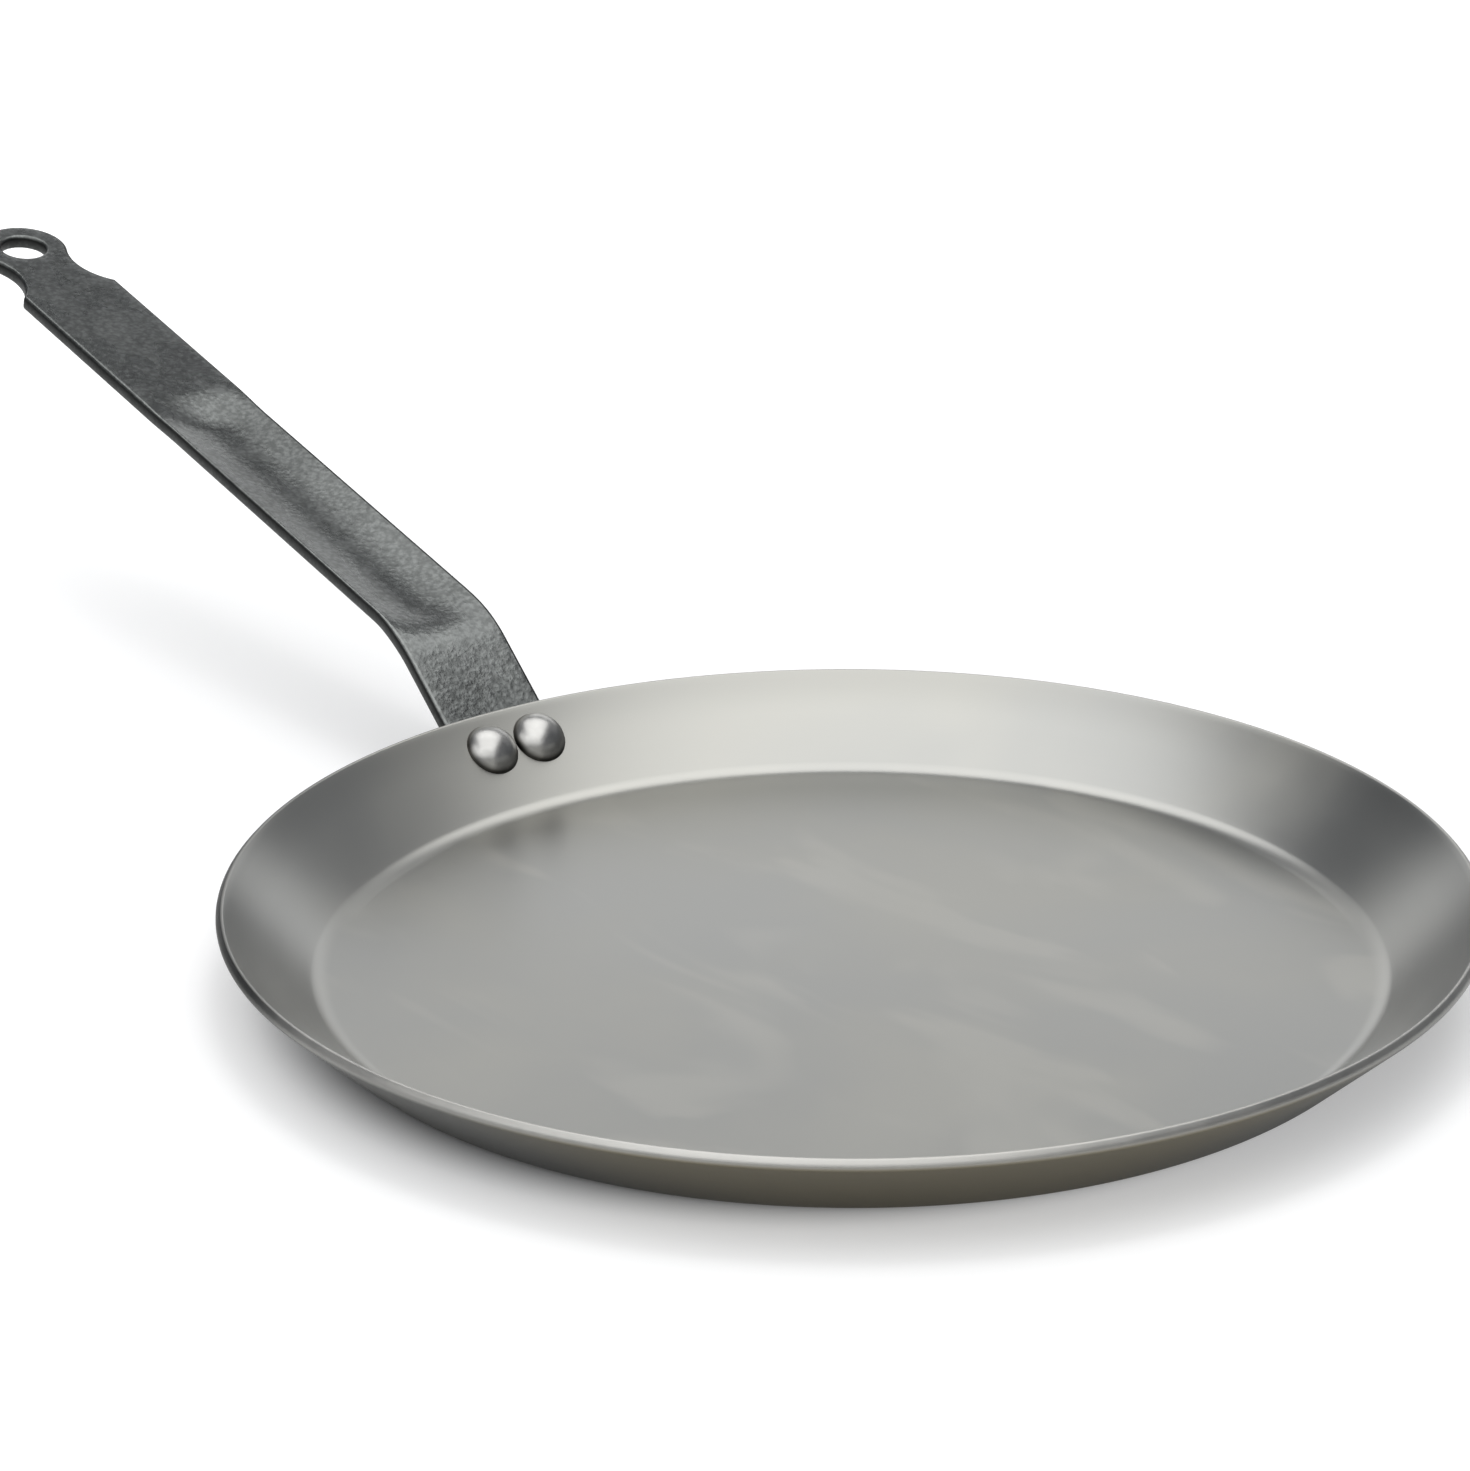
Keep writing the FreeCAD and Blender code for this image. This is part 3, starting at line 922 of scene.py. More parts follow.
@dataclass
class PanBody:
    """The pressed pan: flat floor, straight sloping wall and rounded rim, turned about the axis."""

    rim_radius: float
    height: float
    sheet: float = 0.0025
    wall_angle: float = math.radians(42.0)
    corner_radius: float = 0.0065
    rim_round: float = 0.00065
    outer_round: float = 0.0012
    segments: int = 360
    floor_step: float = 0.0035
    wall_step: float = 0.0012
    corner_steps: int = 20
    rim_steps: int = 9
    outside_start: float = 0.68
    edge_rate: float = 2.0
    # How far the painted shade on the rim reaches and how strong it grows
    inner_edge_shade: float = 0.8
    outer_edge_shade: float = 1.4
    edge_shade_gain: float = 1.3
    hole_radius: float = 0.0031
    hole_overrun: float = 0.004
    hole_segments: int = 48
    weld_distance: float = 0.000002

    def __post_init__(self) -> None:
        """Work out the lines that the section and the other pieces follow."""
        cosine, sine = math.cos(self.wall_angle), math.sin(self.wall_angle)
        self.up_wall: Plan = (cosine, sine)
        self.off_wall: Plan = (sine, -cosine)
        round_loss = self.rim_round * (cosine + sine - 1)
        outer_height = self.height + round_loss - self.sheet * cosine
        self.outer_rim: Plan = (self.rim_radius + round_loss, outer_height)
        self.inner_rim: Plan = moved(self.outer_rim, self.off_wall, -self.sheet)
        foot_height = self.sheet + self.corner_radius * (1 - cosine)
        wall_length = (self.inner_rim[1] - foot_height) / sine
        wall_foot = moved(self.inner_rim, self.up_wall, -wall_length)
        self.corner_centre: Plan = moved(wall_foot, self.off_wall, -self.corner_radius)

    @classmethod
    def from_frame(cls) -> "PanBody":
        """Take the rim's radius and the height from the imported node."""
        _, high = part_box(Node.PAN.value)
        return cls(rim_radius=high.x, height=high.z)

    def build(self, material: bpy.types.Material) -> bpy.types.Object:
        """Turn the pan with Geometry Nodes.

        Args:
            material: Finish that the tree sets.

        Returns:
            The pan's object, without its rivet holes.
        """
        tree = GeometryTree("pressed_pan", {
            "Outer Rim": (*self.outer_rim, 0.0),
            "Corner Centre": (*self.corner_centre, 0.0),
            "Sheet": self.sheet,
            "Wall Angle": self.wall_angle,
            "Corner Radius": self.corner_radius,
            "Inner Rim Round": self.rim_round,
            "Outer Rim Round": self.outer_round,
            "Floor Step": self.floor_step,
            "Wall Step": self.wall_step,
            "Corner Steps": self.corner_steps,
            "Rim Steps": self.rim_steps,
            "Segments": self.segments,
            "Material": material,
        })
        lathe = Lathe(tree.bench)
        tree.close(lathe.turn(self.section(lathe, tree.given), tree.given["Segments"]))
        piece = tree.run()
        weld(piece, self.weld_distance)
        piece.data.shade_smooth()
        return piece

    def section(self, lathe: Lathe, given: Any) -> list[bpy.types.NodeSocket]:
        """Draw the half section from the base's centre, over the rim, to the floor's centre.

        Args:
            lathe: Lathe of the tree.
            given: The tree's input sockets.

        Returns:
            The section's runs.
        """
        bench = lathe.bench
        wall, sheet = given["Wall Angle"], given["Sheet"]
        cosine, sine = bench.math("COSINE", wall), bench.math("SINE", wall)
        up_wall = lathe.point(cosine, sine)
        off_wall = lathe.point(sine, bench.opposite(cosine))
        half = bench.math("DIVIDE", wall, 2.0)
        half_sine, half_cosine = bench.math("SINE", half), bench.math("COSINE", half)
        half_off = lathe.point(half_sine, bench.opposite(half_cosine))

        def corner(radius: Any) -> tuple[Any, Any, Any]:
            """Find the pressed corner on one face of the sheet.

            Args:
                radius: Distance of the face from the corner's centre.

            Returns:
                The corner's end on the floor, its middle and its end on the wall.
            """
            centre = given["Corner Centre"]
            down = lathe.point(0.0, -1.0)
            return tuple(lathe.moved(centre, way, radius) for way in (down, half_off, off_wall))

        def rim(edge: Any, rounding: Any, side: float) -> tuple[Any, Any, Any]:
            """Find one rounded edge of the rim.

            Args:
                edge: The edge before it is rounded.
                rounding: Radius of the rounding.
                side: 1 for the outer edge, -1 for the inner one.

            Returns:
                The rounding's end on the wall, its middle and its end on the cut face.
            """
            out = bench.times(rounding, side)
            centre = lathe.moved(edge, up_wall, bench.opposite(rounding))
            centre = lathe.moved(centre, off_wall, bench.opposite(out))
            middle = lathe.moved(centre, up_wall, bench.times(rounding, DIAGONAL))
            middle = lathe.moved(middle, off_wall, bench.times(out, DIAGONAL))
            return lathe.moved(centre, off_wall, out), middle, lathe.moved(centre, up_wall, rounding)

        inner_edge = lathe.moved(given["Outer Rim"], off_wall, bench.opposite(sheet))
        outside = corner(bench.plus(given["Corner Radius"], sheet))
        inside = corner(given["Corner Radius"])
        outer = rim(given["Outer Rim"], given["Outer Rim Round"], 1.0)
        inner = rim(inner_edge, given["Inner Rim Round"], -1.0)
        corner_steps, rim_steps = given["Corner Steps"], given["Rim Steps"]
        return [
            lathe.line(lathe.point(0.0, 0.0), outside[0], given["Floor Step"]),
            lathe.arc(outside, corner_steps),
            lathe.line(outside[2], outer[0], given["Wall Step"]),
            lathe.arc(outer, rim_steps),
            lathe.line(outer[2], inner[2]),
            lathe.arc(inner[::-1], rim_steps),
            lathe.line(inner[0], inside[2], given["Wall Step"]),
            lathe.arc(inside[::-1], corner_steps),
            lathe.line(inside[0], lathe.point(0.0, sheet), given["Floor Step"]),
        ]

    def pierce(self, piece: bpy.types.Object, axes: Sequence[Matrix]) -> None:
        """Cut the rivet holes through the wall.

        Args:
            piece: The pan's object.
            axes: Place of each rivet, Z along its shank.
        """
        for axis in axes:
            drill = self.build_drill(axis)
            cut = piece.modifiers.new("rivet_hole", "BOOLEAN")
            cut.operation = "DIFFERENCE"
            cut.solver = "EXACT"
            cut.object = drill
            settle(piece)
            bpy.data.objects.remove(drill)

    def build_drill(self, axis: Matrix) -> bpy.types.Object:
        """Round bar that stands for one rivet's hole.

        Args:
            axis: Place of the rivet, Z along its shank.

        Returns:
            The bar's object.
        """
        low, high = -self.sheet - self.hole_overrun, self.hole_overrun
        angles = [2 * math.pi * step / self.hole_segments for step in range(self.hole_segments)]
        points = [
            axis @ Vector((*on_circle((0.0, 0.0), self.hole_radius, angle), level))
            for level in (low, high)
            for angle in angles
        ]
        count = self.hole_segments
        sides = [(i, (i + 1) % count, (i + 1) % count + count, i + count) for i in range(count)]
        caps = [tuple(reversed(range(count))), tuple(range(count, 2 * count))]
        return new_mesh_object("drill", points, sides + caps)

    def paint(self, piece: bpy.types.Object) -> None:
        """Mark the wall, the outside and the rim for the finish.

        Args:
            piece: The pan's object.
        """
        masks: Masks = {Mask.WALL: [], Mask.OUTSIDE: [], Mask.EDGE: [], Mask.SIDE: []}
        corner_width = self.corner_radius * self.off_wall[0]
        for vertex in piece.data.vertices:
            radius = math.hypot(vertex.co.x, vertex.co.y)
            place = (radius, vertex.co.z)
            below_rim = -along(place, self.inner_rim, self.up_wall)
            under = self.depth_under(place)
            outside = clamped((under / self.sheet - self.outside_start) / (1 - self.outside_start))
            edge = clamped(self.edge_rate * (1 - below_rim / self.rim_round))
            # Painted shade on the rim's cut face and outer rounding
            edge_shade = self.inner_edge_shade - below_rim / self.rim_round
            if under > self.sheet / 2:
                edge_shade = self.outer_edge_shade - below_rim / self.outer_round
            masks[Mask.WALL].append(clamped((radius - self.corner_centre[0]) / corner_width))
            masks[Mask.OUTSIDE].append(outside)
            masks[Mask.EDGE].append(edge * (1 - outside))
            masks[Mask.SIDE].append(clamped(self.edge_shade_gain * edge_shade))
        paint_masks(piece, masks)

    def depth_under(self, place: Plan) -> float:
        """Depth of a point of the section under the pan's inner face.

        Args:
            place: Radius and height of the point.

        Returns:
            Nought on the inner face, the sheet's thickness on the outer one.
        """
        if place[0] <= self.corner_centre[0]:
            return self.sheet - place[1]
        if along(place, self.corner_centre, self.up_wall) < 0:
            return math.dist(place, self.corner_centre) - self.corner_radius
        return along(place, self.inner_rim, self.off_wall)


@dataclass
class OutlinePoint:
    """A point of the flat blank's outline, as (station, across), with its outward normal."""

    place: Plan
    normal: Plan

    def inset(self, distance: float) -> Plan:
        """The point moved into the blank."""
        return moved(self.place, self.normal, -distance)

    def mirrored(self) -> "OutlinePoint":
        """The same point on the other side of the strip."""
        return OutlinePoint((self.place[0], -self.place[1]), (self.normal[0], -self.normal[1]))

    def rubbed_and_lit(self) -> float:
        """Share of the wear and painted highlight that reaches the edge here: all on the lit left side,
        none on the right.
        """
        return clamped(1 + self.normal[1])


@dataclass(frozen=True)
class EdgeRing:
    """One ring of the strip's rounded edge, with its masks."""

    inset: float
    depth: float
    worn_and_lit: float
    side: float

    def below(self, thickness: float, worn_and_lit_share: float, side_share: float) -> "EdgeRing":
        """The same ring at the strip's other face, with a share of its wear and painted highlight and of
        its painted shade.
        """
        depth = thickness - self.depth
        return EdgeRing(self.inset, depth, self.worn_and_lit * worn_and_lit_share, self.side * side_share)


@dataclass
class StripHandle:
    """The strip handle: a flat blank with its eye, rounded edges and holes, pressed to shape.

    A station is a distance along the strip's top face from the start of its bend, and the blank
    is drawn on (station, across) before it is dished and bent.
    """

    pan: PanBody
    width: float = 0.0257
    thickness: float = 0.0035
    seat_gap: float = 0.00002
    palm_drop: float = 0.018
    palm_corner_radius: float = 0.004
    neck_length: float = 0.0263
    bend_radius: float = 0.0335
    grip_angle: float = math.radians(13.4)
    eye_reach: float = 0.2042
    trough_bend_share: float = 0.13
    trough_length: float = 0.1195
    trough_depth: float = 0.0026
    trough_low_runout: float = 0.016
    trough_high_runout: float = 0.017
    draw_in_share: float = 8.0 / 3.0
    eye_radius: float = 0.0108
    eye_hole_radius: float = 0.0055
    neck_inset: float = 0.0024
    shoulder_radius: float = 0.017
    shoulder_corner_radius: float = 0.0008
    edge_round: float = 0.0009
    edge_steps: int = 6
    # Edge masks: wear with a painted highlight on the lit left edge, and painted shade on the sides and
    # along the right edge
    worn_and_lit_rate: float = 1.6
    side_rate: float = 2.2
    side_delay: float = 0.8
    low_worn_and_lit_share: float = 0.3
    low_side_share: float = 0.45
    wear_and_highlight_fade: float = 0.06
    eye_wear_and_highlight: float = 0.3
    outline_step: float = 0.0008
    arc_step: float = math.radians(6.0)
    least_arc_step: float = math.radians(1.5)
    hole_steps: int = 72
    grid_step: float = 0.0009
    fill_tolerance: float = 1e-6

    def __post_init__(self) -> None:
        """Work out the line of the strip's top face and where its features lie on it."""
        turn = self.pan.wall_angle - self.grip_angle
        self.top_radius = self.bend_radius + self.thickness
        tangent = self.top_radius * math.tan(turn / 2)
        self.bend_length = self.top_radius * turn
        self.up_grip: Plan = (math.cos(self.grip_angle), math.sin(self.grip_angle))
        palm_line = moved(self.pan.outer_rim, self.pan.off_wall, self.seat_gap)
        corner = moved(palm_line, self.pan.up_wall, self.neck_length)
        self.bend_start = moved(corner, self.pan.up_wall, -tangent)
        self.bend_end = moved(corner, self.up_grip, tangent)
        self.bend_centre = moved(self.bend_start, self.pan.off_wall, self.top_radius)
        self.rim_station = tangent - self.neck_length
        self.low_station = self.rim_station - self.palm_drop
        reach = self.pan.outer_rim[0] + self.eye_reach - self.bend_end[0]
        self.eye_station = self.bend_length + reach / self.up_grip[0]
        self.trough_start = self.bend_length * self.trough_bend_share
        self.trough_end = self.trough_start + self.trough_length

    # The press: from the flat blank to the finished strip

    def line(self, station: float) -> tuple[Plan, float]:
        """Follow the line of the top face.

        Args:
            station: Distance along the strip.

        Returns:
            The point in the handle's middle plane, and the slope there.
        """
        if station <= 0:
            return moved(self.bend_start, self.pan.up_wall, station), self.pan.wall_angle
        if station >= self.bend_length:
            return moved(self.bend_end, self.up_grip, station - self.bend_length), self.grip_angle
        slope = self.pan.wall_angle - station / self.top_radius
        return on_circle(self.bend_centre, self.top_radius, slope + math.pi / 2), slope

    def dish(self, station: float) -> float:
        """Depth of the trough, eased in and out over its runouts.

        Args:
            station: Distance along the strip.

        Returns:
            The depth at the middle of the strip.
        """
        low = (station - self.trough_start) / self.trough_low_runout
        high = (self.trough_end - station) / self.trough_high_runout
        share = max(min(low, high, 1.0), 0.0)
        return self.trough_depth * (1 - math.cos(math.pi * share)) / 2

    def palm_rise(self, station: float) -> float:
        """Rise of the palm's edges, which fits it to the wall and fades out up the neck.

        Args:
            station: Distance along the strip.

        Returns:
            The rise of the edges over the middle of the strip.
        """
        held = min(station, self.rim_station)
        radius = self.line(held)[0][0]
        rise = (self.width / 2) ** 2 * self.pan.off_wall[0] / (2 * radius)
        if station > self.rim_station:
            rise *= max(station / self.rim_station, 0.0)
        return rise

    def press(self, place: Plan, depth: float) -> Vector:
        """Carry a point of the blank to its place on the finished strip.

        Args:
            place: (station, across) on the blank.
            depth: How far below the top face.

        Returns:
            The point in the frame's own axes.
        """
        station, across = place
        point, slope = self.line(station)
        dish = self.dish(station)
        share = across / self.width + MIDDLE
        product, peak = share * (1 - share), MIDDLE * (1 - MIDDLE)
        bowl = product * (1 + product) / (peak * (1 + peak))
        lift = self.palm_rise(station) * (1 - product / peak) - dish * bowl
        drawn_in = 1 - self.draw_in_share * (dish / self.width) ** 2
        up = (-math.sin(slope), math.cos(slope))
        reach, height = moved(point, up, lift - depth)
        return Vector((reach, across * drawn_in, height))

    # The flat blank

    def half_outline(self) -> list[OutlinePoint]:
        """Left half of the outline, from the palm's lower end to the eye's tip.

        Returns:
            Outline points from the middle of the palm's end to the tip of the eye.
        """
        half, quarter = self.width / 2, math.pi / 2
        points: list[OutlinePoint] = []

        def straight(start: Plan, end: Plan, normal: Plan) -> None:
            """Add a straight run without its last point.

            Args:
                start: First point of the run.
                end: Where the next run starts.
                normal: Outward normal of the run.
            """
            length = math.dist(start, end)
            for share in spread(0.0, 1.0, self.outline_step / length)[:-1]:
                place = tuple(first + (last - first) * share for first, last in zip(start, end))
                points.append(OutlinePoint(place, normal))

        def arc(centre: Plan, radius: float, start: float, end: float, bulge: int) -> None:
            """Add an arc without its last point.

            Args:
                centre: Middle of the arc.
                radius: Its radius.
                start: Angle of its first point.
                end: Angle where the next run starts.
                bulge: 1 where the metal lies inside the arc, -1 where it lies outside.
            """
            step = min(self.arc_step, self.outline_step / radius)
            for angle in spread(start, end, max(step, self.least_arc_step))[:-1]:
                normal = (math.cos(angle) * bulge, math.sin(angle) * bulge)
                points.append(OutlinePoint(on_circle(centre, radius, angle), normal))

        palm_centre = (self.low_station + self.palm_corner_radius, half - self.palm_corner_radius)
        straight((self.low_station, 0.0), (self.low_station, palm_centre[1]), (-1.0, 0.0))
        arc(palm_centre, self.palm_corner_radius, math.pi, quarter, 1)

        eye = (self.eye_station, 0.0)
        arc_across = self.eye_radius - self.neck_inset + self.shoulder_radius
        reach = math.sqrt((self.eye_radius + self.shoulder_radius) ** 2 - arc_across ** 2)
        shoulder = (self.eye_station - reach, arc_across)
        corner_reach = self.shoulder_radius + self.shoulder_corner_radius
        corner_across = half - self.shoulder_corner_radius
        corner_along = math.sqrt(corner_reach ** 2 - (arc_across - corner_across) ** 2)
        corner = (shoulder[0] - corner_along, corner_across)
        into = math.atan2(shoulder[1] - corner[1], shoulder[0] - corner[0])
        touch = math.atan2(shoulder[1] - eye[1], shoulder[0] - eye[0])

        straight((palm_centre[0], half), (corner[0], half), (0.0, 1.0))
        arc(corner, self.shoulder_corner_radius, quarter, into, 1)
        arc(shoulder, self.shoulder_radius, into - math.pi, touch - math.pi, -1)
        arc(eye, self.eye_radius, touch, 0.0, 1)
        points.append(OutlinePoint((self.eye_station + self.eye_radius, 0.0), (1.0, 0.0)))
        return points

    def outline(self) -> list[OutlinePoint]:
        """The whole outline, anticlockwise, seen from the top face."""
        left = self.half_outline()
        return [point.mirrored() for point in left] + list(reversed(left[1:-1]))

    def wear_and_highlight_share(self, point: OutlinePoint) -> float:
        """Share of the wear and painted highlight that reaches a point of the edge, which is least at
        the eye.

        Args:
            point: Point of the outline.

        Returns:
            The share, nought to one.
        """
        short_of_eye = self.eye_station - self.eye_radius - point.place[0]
        share = clamped(short_of_eye / self.wear_and_highlight_fade)
        return point.rubbed_and_lit() * (self.eye_wear_and_highlight + (1 - self.eye_wear_and_highlight) * share)

    def round_hole(self, centre: Plan, radius: float) -> list[OutlinePoint]:
        """Outline of a hole, its normals towards the hole's middle.

        Args:
            centre: Middle of the hole on the blank.
            radius: Its radius.

        Returns:
            Outline points, clockwise.
        """
        angles = [-2 * math.pi * step / self.hole_steps for step in range(self.hole_steps)]
        return [
            OutlinePoint(on_circle(centre, radius, angle), (-math.cos(angle), -math.sin(angle)))
            for angle in angles
        ]

    def edge_section(self) -> list[EdgeRing]:
        """Rounded edge from the top face to the bottom face.

        Returns:
            The rings of the edge, from the top face's border to the bottom face's.
        """
        radius, steps = self.edge_round, self.edge_steps
        rounding = []
        for step, angle in enumerate(arc_angles(0.0, math.pi / 2, steps)):
            inset, depth = radius * (1 - math.sin(angle)), radius * (1 - math.cos(angle))
            share = step / steps
            # Wear and painted highlight peak part way round the rounding; painted shade grows towards
            # the side face
            worn_and_lit = math.sin(math.pi * clamped(self.worn_and_lit_rate * share))
            side = clamped(self.side_rate * share - self.side_delay)
            rounding.append(EdgeRing(inset, depth, worn_and_lit, side))
        shares = (self.low_worn_and_lit_share, self.low_side_share)
        return rounding + [ring.below(self.thickness, *shares) for ring in reversed(rounding)]

    def fill(
        self, loops: Sequence[Sequence[Plan]], holes: Sequence[tuple[Plan, float]]
    ) -> tuple[list[Plan], list[tuple[int, ...]]]:
        """Triangulate the blank's face between its outline and its holes, on an even grid.

        Args:
            loops: Boundary points of the outline and of each hole.
            holes: Middle and radius of each hole.

        Returns:
            All points, the boundary's first and in order, and the triangles.
        """
        points = [point for loop in loops for point in loop]
        edges: list[tuple[int, int]] = []
        start = 0
        for loop in loops:
            edges += [(start + i, start + (i + 1) % len(loop)) for i in range(len(loop))]
            start += len(loop)
        border = {(round(p[0] / self.grid_step), round(p[1] / self.grid_step)) for p in points}
        spans = (-1, 0, 1)
        rows = round(self.width / self.grid_step / 2)
        first = math.ceil(self.low_station / self.grid_step)
        last = math.floor((self.eye_station + self.eye_radius) / self.grid_step)
        for column in range(first, last + 1):
            for row in range(-rows, rows + 1):
                if any((column + i, row + j) in border for i in spans for j in spans):
                    continue
                points.append((column * self.grid_step, row * self.grid_step))
        in_millimetres = [Vector((x / MILLIMETRE, y / MILLIMETRE)) for x, y in points]
        made = delaunay_2d_cdt(in_millimetres, edges, [], INSIDE_ONLY, self.fill_tolerance)
        places = [(p.x * MILLIMETRE, p.y * MILLIMETRE) for p in made[0]]
        triangles = []
        for triangle in made[2]:
            corners = [places[i] for i in triangle]
            middle = tuple(sum(values) / len(corners) for values in zip(*corners))
            if all(math.dist(middle, centre) > radius for centre, radius in holes):
                triangles.append(tuple(triangle))
        return places, triangles

    def build(self, rivet_places: Sequence[Plan], rivet_hole_radius: float) -> bpy.types.Object:
        """Cut the blank and press it.

        Args:
            rivet_places: (station, across) of each rivet hole.
            rivet_hole_radius: Radius of the rivet holes.

        Returns:
            The handle's object.
        """
        holes = [((self.eye_station, 0.0), self.eye_hole_radius)]
        holes += [(place, rivet_hole_radius) for place in rivet_places]
        loops = [self.outline()] + [self.round_hole(*hole) for hole in holes]
        section = self.edge_section()
        border = [[point.inset(section[0].inset) for point in loop] for loop in loops]
        cleared = [(centre, radius + section[0].inset) for centre, radius in holes]
        places, triangles = self.fill(border, cleared)
        count = len(places)
        points = [self.press(place, 0.0) for place in places]
        points += [self.press(place, self.thickness) for place in places]
        masks: Masks = {Mask.EDGE: [0.0] * (2 * count), Mask.SIDE: [0.0] * (2 * count)}
        faces: list[tuple[int, ...]] = list(triangles)
        faces += [tuple(count + i for i in reversed(triangle)) for triangle in triangles]
        start = 0
        for loop in loops:
            size = len(loop)
            rings = [list(range(start, start + size))]
            for ring in section[1:-1]:
                rings.append(list(range(len(points), len(points) + size)))
                points += [self.press(point.inset(ring.inset), ring.depth) for point in loop]
                # Wear and painted highlight by each point's share; painted shade on the sides and all
                # along the right edge
                masks[Mask.EDGE] += [ring.worn_and_lit * self.wear_and_highlight_share(point) for point in loop]
                masks[Mask.SIDE] += [max(ring.side, 1 - point.rubbed_and_lit()) for point in loop]
            rings.append(list(range(count + start, count + start + size)))
            for upper, lower in zip(rings, rings[1:]):
                for i in range(size):
                    after = (i + 1) % size
                    faces.append((upper[i], lower[i], lower[after], upper[after]))
            start += size
        piece = new_mesh_object("strip_handle", points, faces)
        paint_masks(piece, masks)
        return piece


@dataclass
class RivetPair:
    """Two set rivets through wall and palm: one turned form, repeated by Geometry Nodes."""

    pan: PanBody
    handle: StripHandle
    drop: float = 0.0091
    head_gap: float = 0.00015
    head_radius: float = 0.0062
    head_height: float = 0.0042
    shank_radius: float = 0.003
    set_head_radius: float = 0.00575
    set_head_height: float = 0.003
    seat_sink: float = 0.00025
    count: int = 2
    segments: int = 96
    dome_steps: int = 24
    sharp_angle: float = math.radians(40.0)
    # Height and rate of the painted shade at the foot of each head
    foot_shade_height: float = 0.0017
    foot_shade_rate: float = 1.5
    weld_distance: float = 0.000002

    def __post_init__(self) -> None:
        """Work out where the rivets stand."""
        self.seat = moved(self.pan.inner_rim, self.pan.up_wall, -self.drop)
        self.grip = self.pan.sheet + self.handle.seat_gap + self.handle.thickness
        spacing = 2 * max(self.head_radius, self.set_head_radius) + self.head_gap
        self.turn = math.asin(spacing / 2 / self.seat[0])

    def axes(self) -> list[Matrix]:
        """Place of each rivet on the inner wall.

        Returns:
            The places, Z pointing into the pan.
        """
        lean = Matrix.Rotation(-self.pan.wall_angle, 4, "Y")
        stood = Matrix.Translation((self.seat[0], 0.0, self.seat[1])) @ lean
        return [Matrix.Rotation(self.turn * side, 4, "Z") @ stood for side in (1, -1)]

    def palm_places(self) -> list[Plan]:
        """Place of each rivet on the handle's blank.

        Returns:
            (station, across) of the left rivet and the right one.
        """
        station = self.handle.rim_station - self.drop
        across = (self.seat[0] + self.grip * self.pan.off_wall[0] / 2) * math.sin(self.turn)
        return [(station, across), (station, -across)]

    def build(self, material: bpy.types.Material) -> bpy.types.Object:
        """Make the rivets as one plain mesh.

        Args:
            material: Finish that the tree sets.

        Returns:
            The rivets' object.
        """
        tree = GeometryTree("set_rivets", {
            "Head Radius": self.head_radius,
            "Head Height": self.head_height,
            "Set Head Radius": self.set_head_radius,
            "Set Head Height": self.set_head_height,
            "Shank Radius": self.shank_radius,
            "Grip": self.grip,
            "Sink": self.seat_sink,
            "Seat Radius": self.seat[0],
            "Seat Height": self.seat[1],
            "Lean": self.pan.wall_angle,
            "Turn": self.turn,
            "Count": self.count,
            "Segments": self.segments,
            "Dome Steps": self.dome_steps,
            "Material": material,
        })
        lathe = Lathe(tree.bench)
        rivet = lathe.turn(self.section(lathe, tree.given), tree.given["Segments"])
        tree.close(self.set_out(tree.bench, tree.given, rivet))
        piece = tree.run()
        weld(piece, self.weld_distance)
        piece.data.shade_smooth()
        piece.data.set_sharp_from_angle(angle=self.sharp_angle)
        return piece

    def set_out(
        self, bench: NodeBench, given: Any, rivet: bpy.types.NodeSocket
    ) -> bpy.types.NodeSocket:
        """Set one rivet out at each seat round the axis.

        Args:
            bench: Bench of the tree.
            given: The tree's input sockets.
            rivet: Mesh of one rivet, its Z out of the round head.

        Returns:
            The rivets, as instances.
        """
        number = bench.add("GeometryNodeInputIndex").outputs[0]
        side = bench.minus(bench.times(number, 2.0), 1.0)
        angle = bench.times(given["Turn"], side)
        place = bench.vector(
            bench.times(given["Seat Radius"], bench.math("COSINE", angle)),
            bench.times(given["Seat Radius"], bench.math("SINE", angle)),
            given["Seat Height"],
        )
        seats = bench.add("GeometryNodePoints", {"Count": given["Count"], "Position": place})
        lean = bench.vector(0.0, bench.opposite(given["Lean"]), angle)
        placed = bench.add(
            "GeometryNodeInstanceOnPoints",
            {"Points": seats.outputs[0], "Instance": rivet, "Rotation": lean},
        )
        return placed.outputs[0]

    def section(self, lathe: Lathe, given: Any) -> list[bpy.types.NodeSocket]:
        """Draw one rivet: round head above the seat, shank, and set head below the grip.

        Args:
            lathe: Lathe of the tree.
            given: The tree's input sockets.

        Returns:
            The section's runs.
        """
        bench = lathe.bench

        def dome(radius: Any, height: Any, seat: Any, side: float) -> tuple[Any, Any, Any]:
            """Find a round head on its seat.

            Args:
                radius: Radius of the head.
                height: Height of the head.
                seat: Height of its seat in the section.
                side: 1 where the head stands up from its seat, -1 where it hangs down.

            Returns:
                The head's top, a point half way down it and its rim.
            """
            squares = bench.plus(bench.times(radius, radius), bench.times(height, height))
            ball = bench.math("DIVIDE", squares, bench.times(height, 2.0))
            half = bench.math("DIVIDE", bench.math("ARCSINE", bench.math("DIVIDE", radius, ball)), 2.0)
            fall = bench.times(ball, bench.minus(1.0, bench.math("COSINE", half)))

            def level(rise: Any) -> Any:
                """Height in the section at a rise above the seat."""
                return bench.plus(seat, bench.times(rise, side))

            out = bench.times(ball, bench.math("SINE", half))
            middle = lathe.point(out, level(bench.minus(height, fall)))
            return lathe.point(0.0, level(height)), middle, lathe.point(radius, level(0.0))

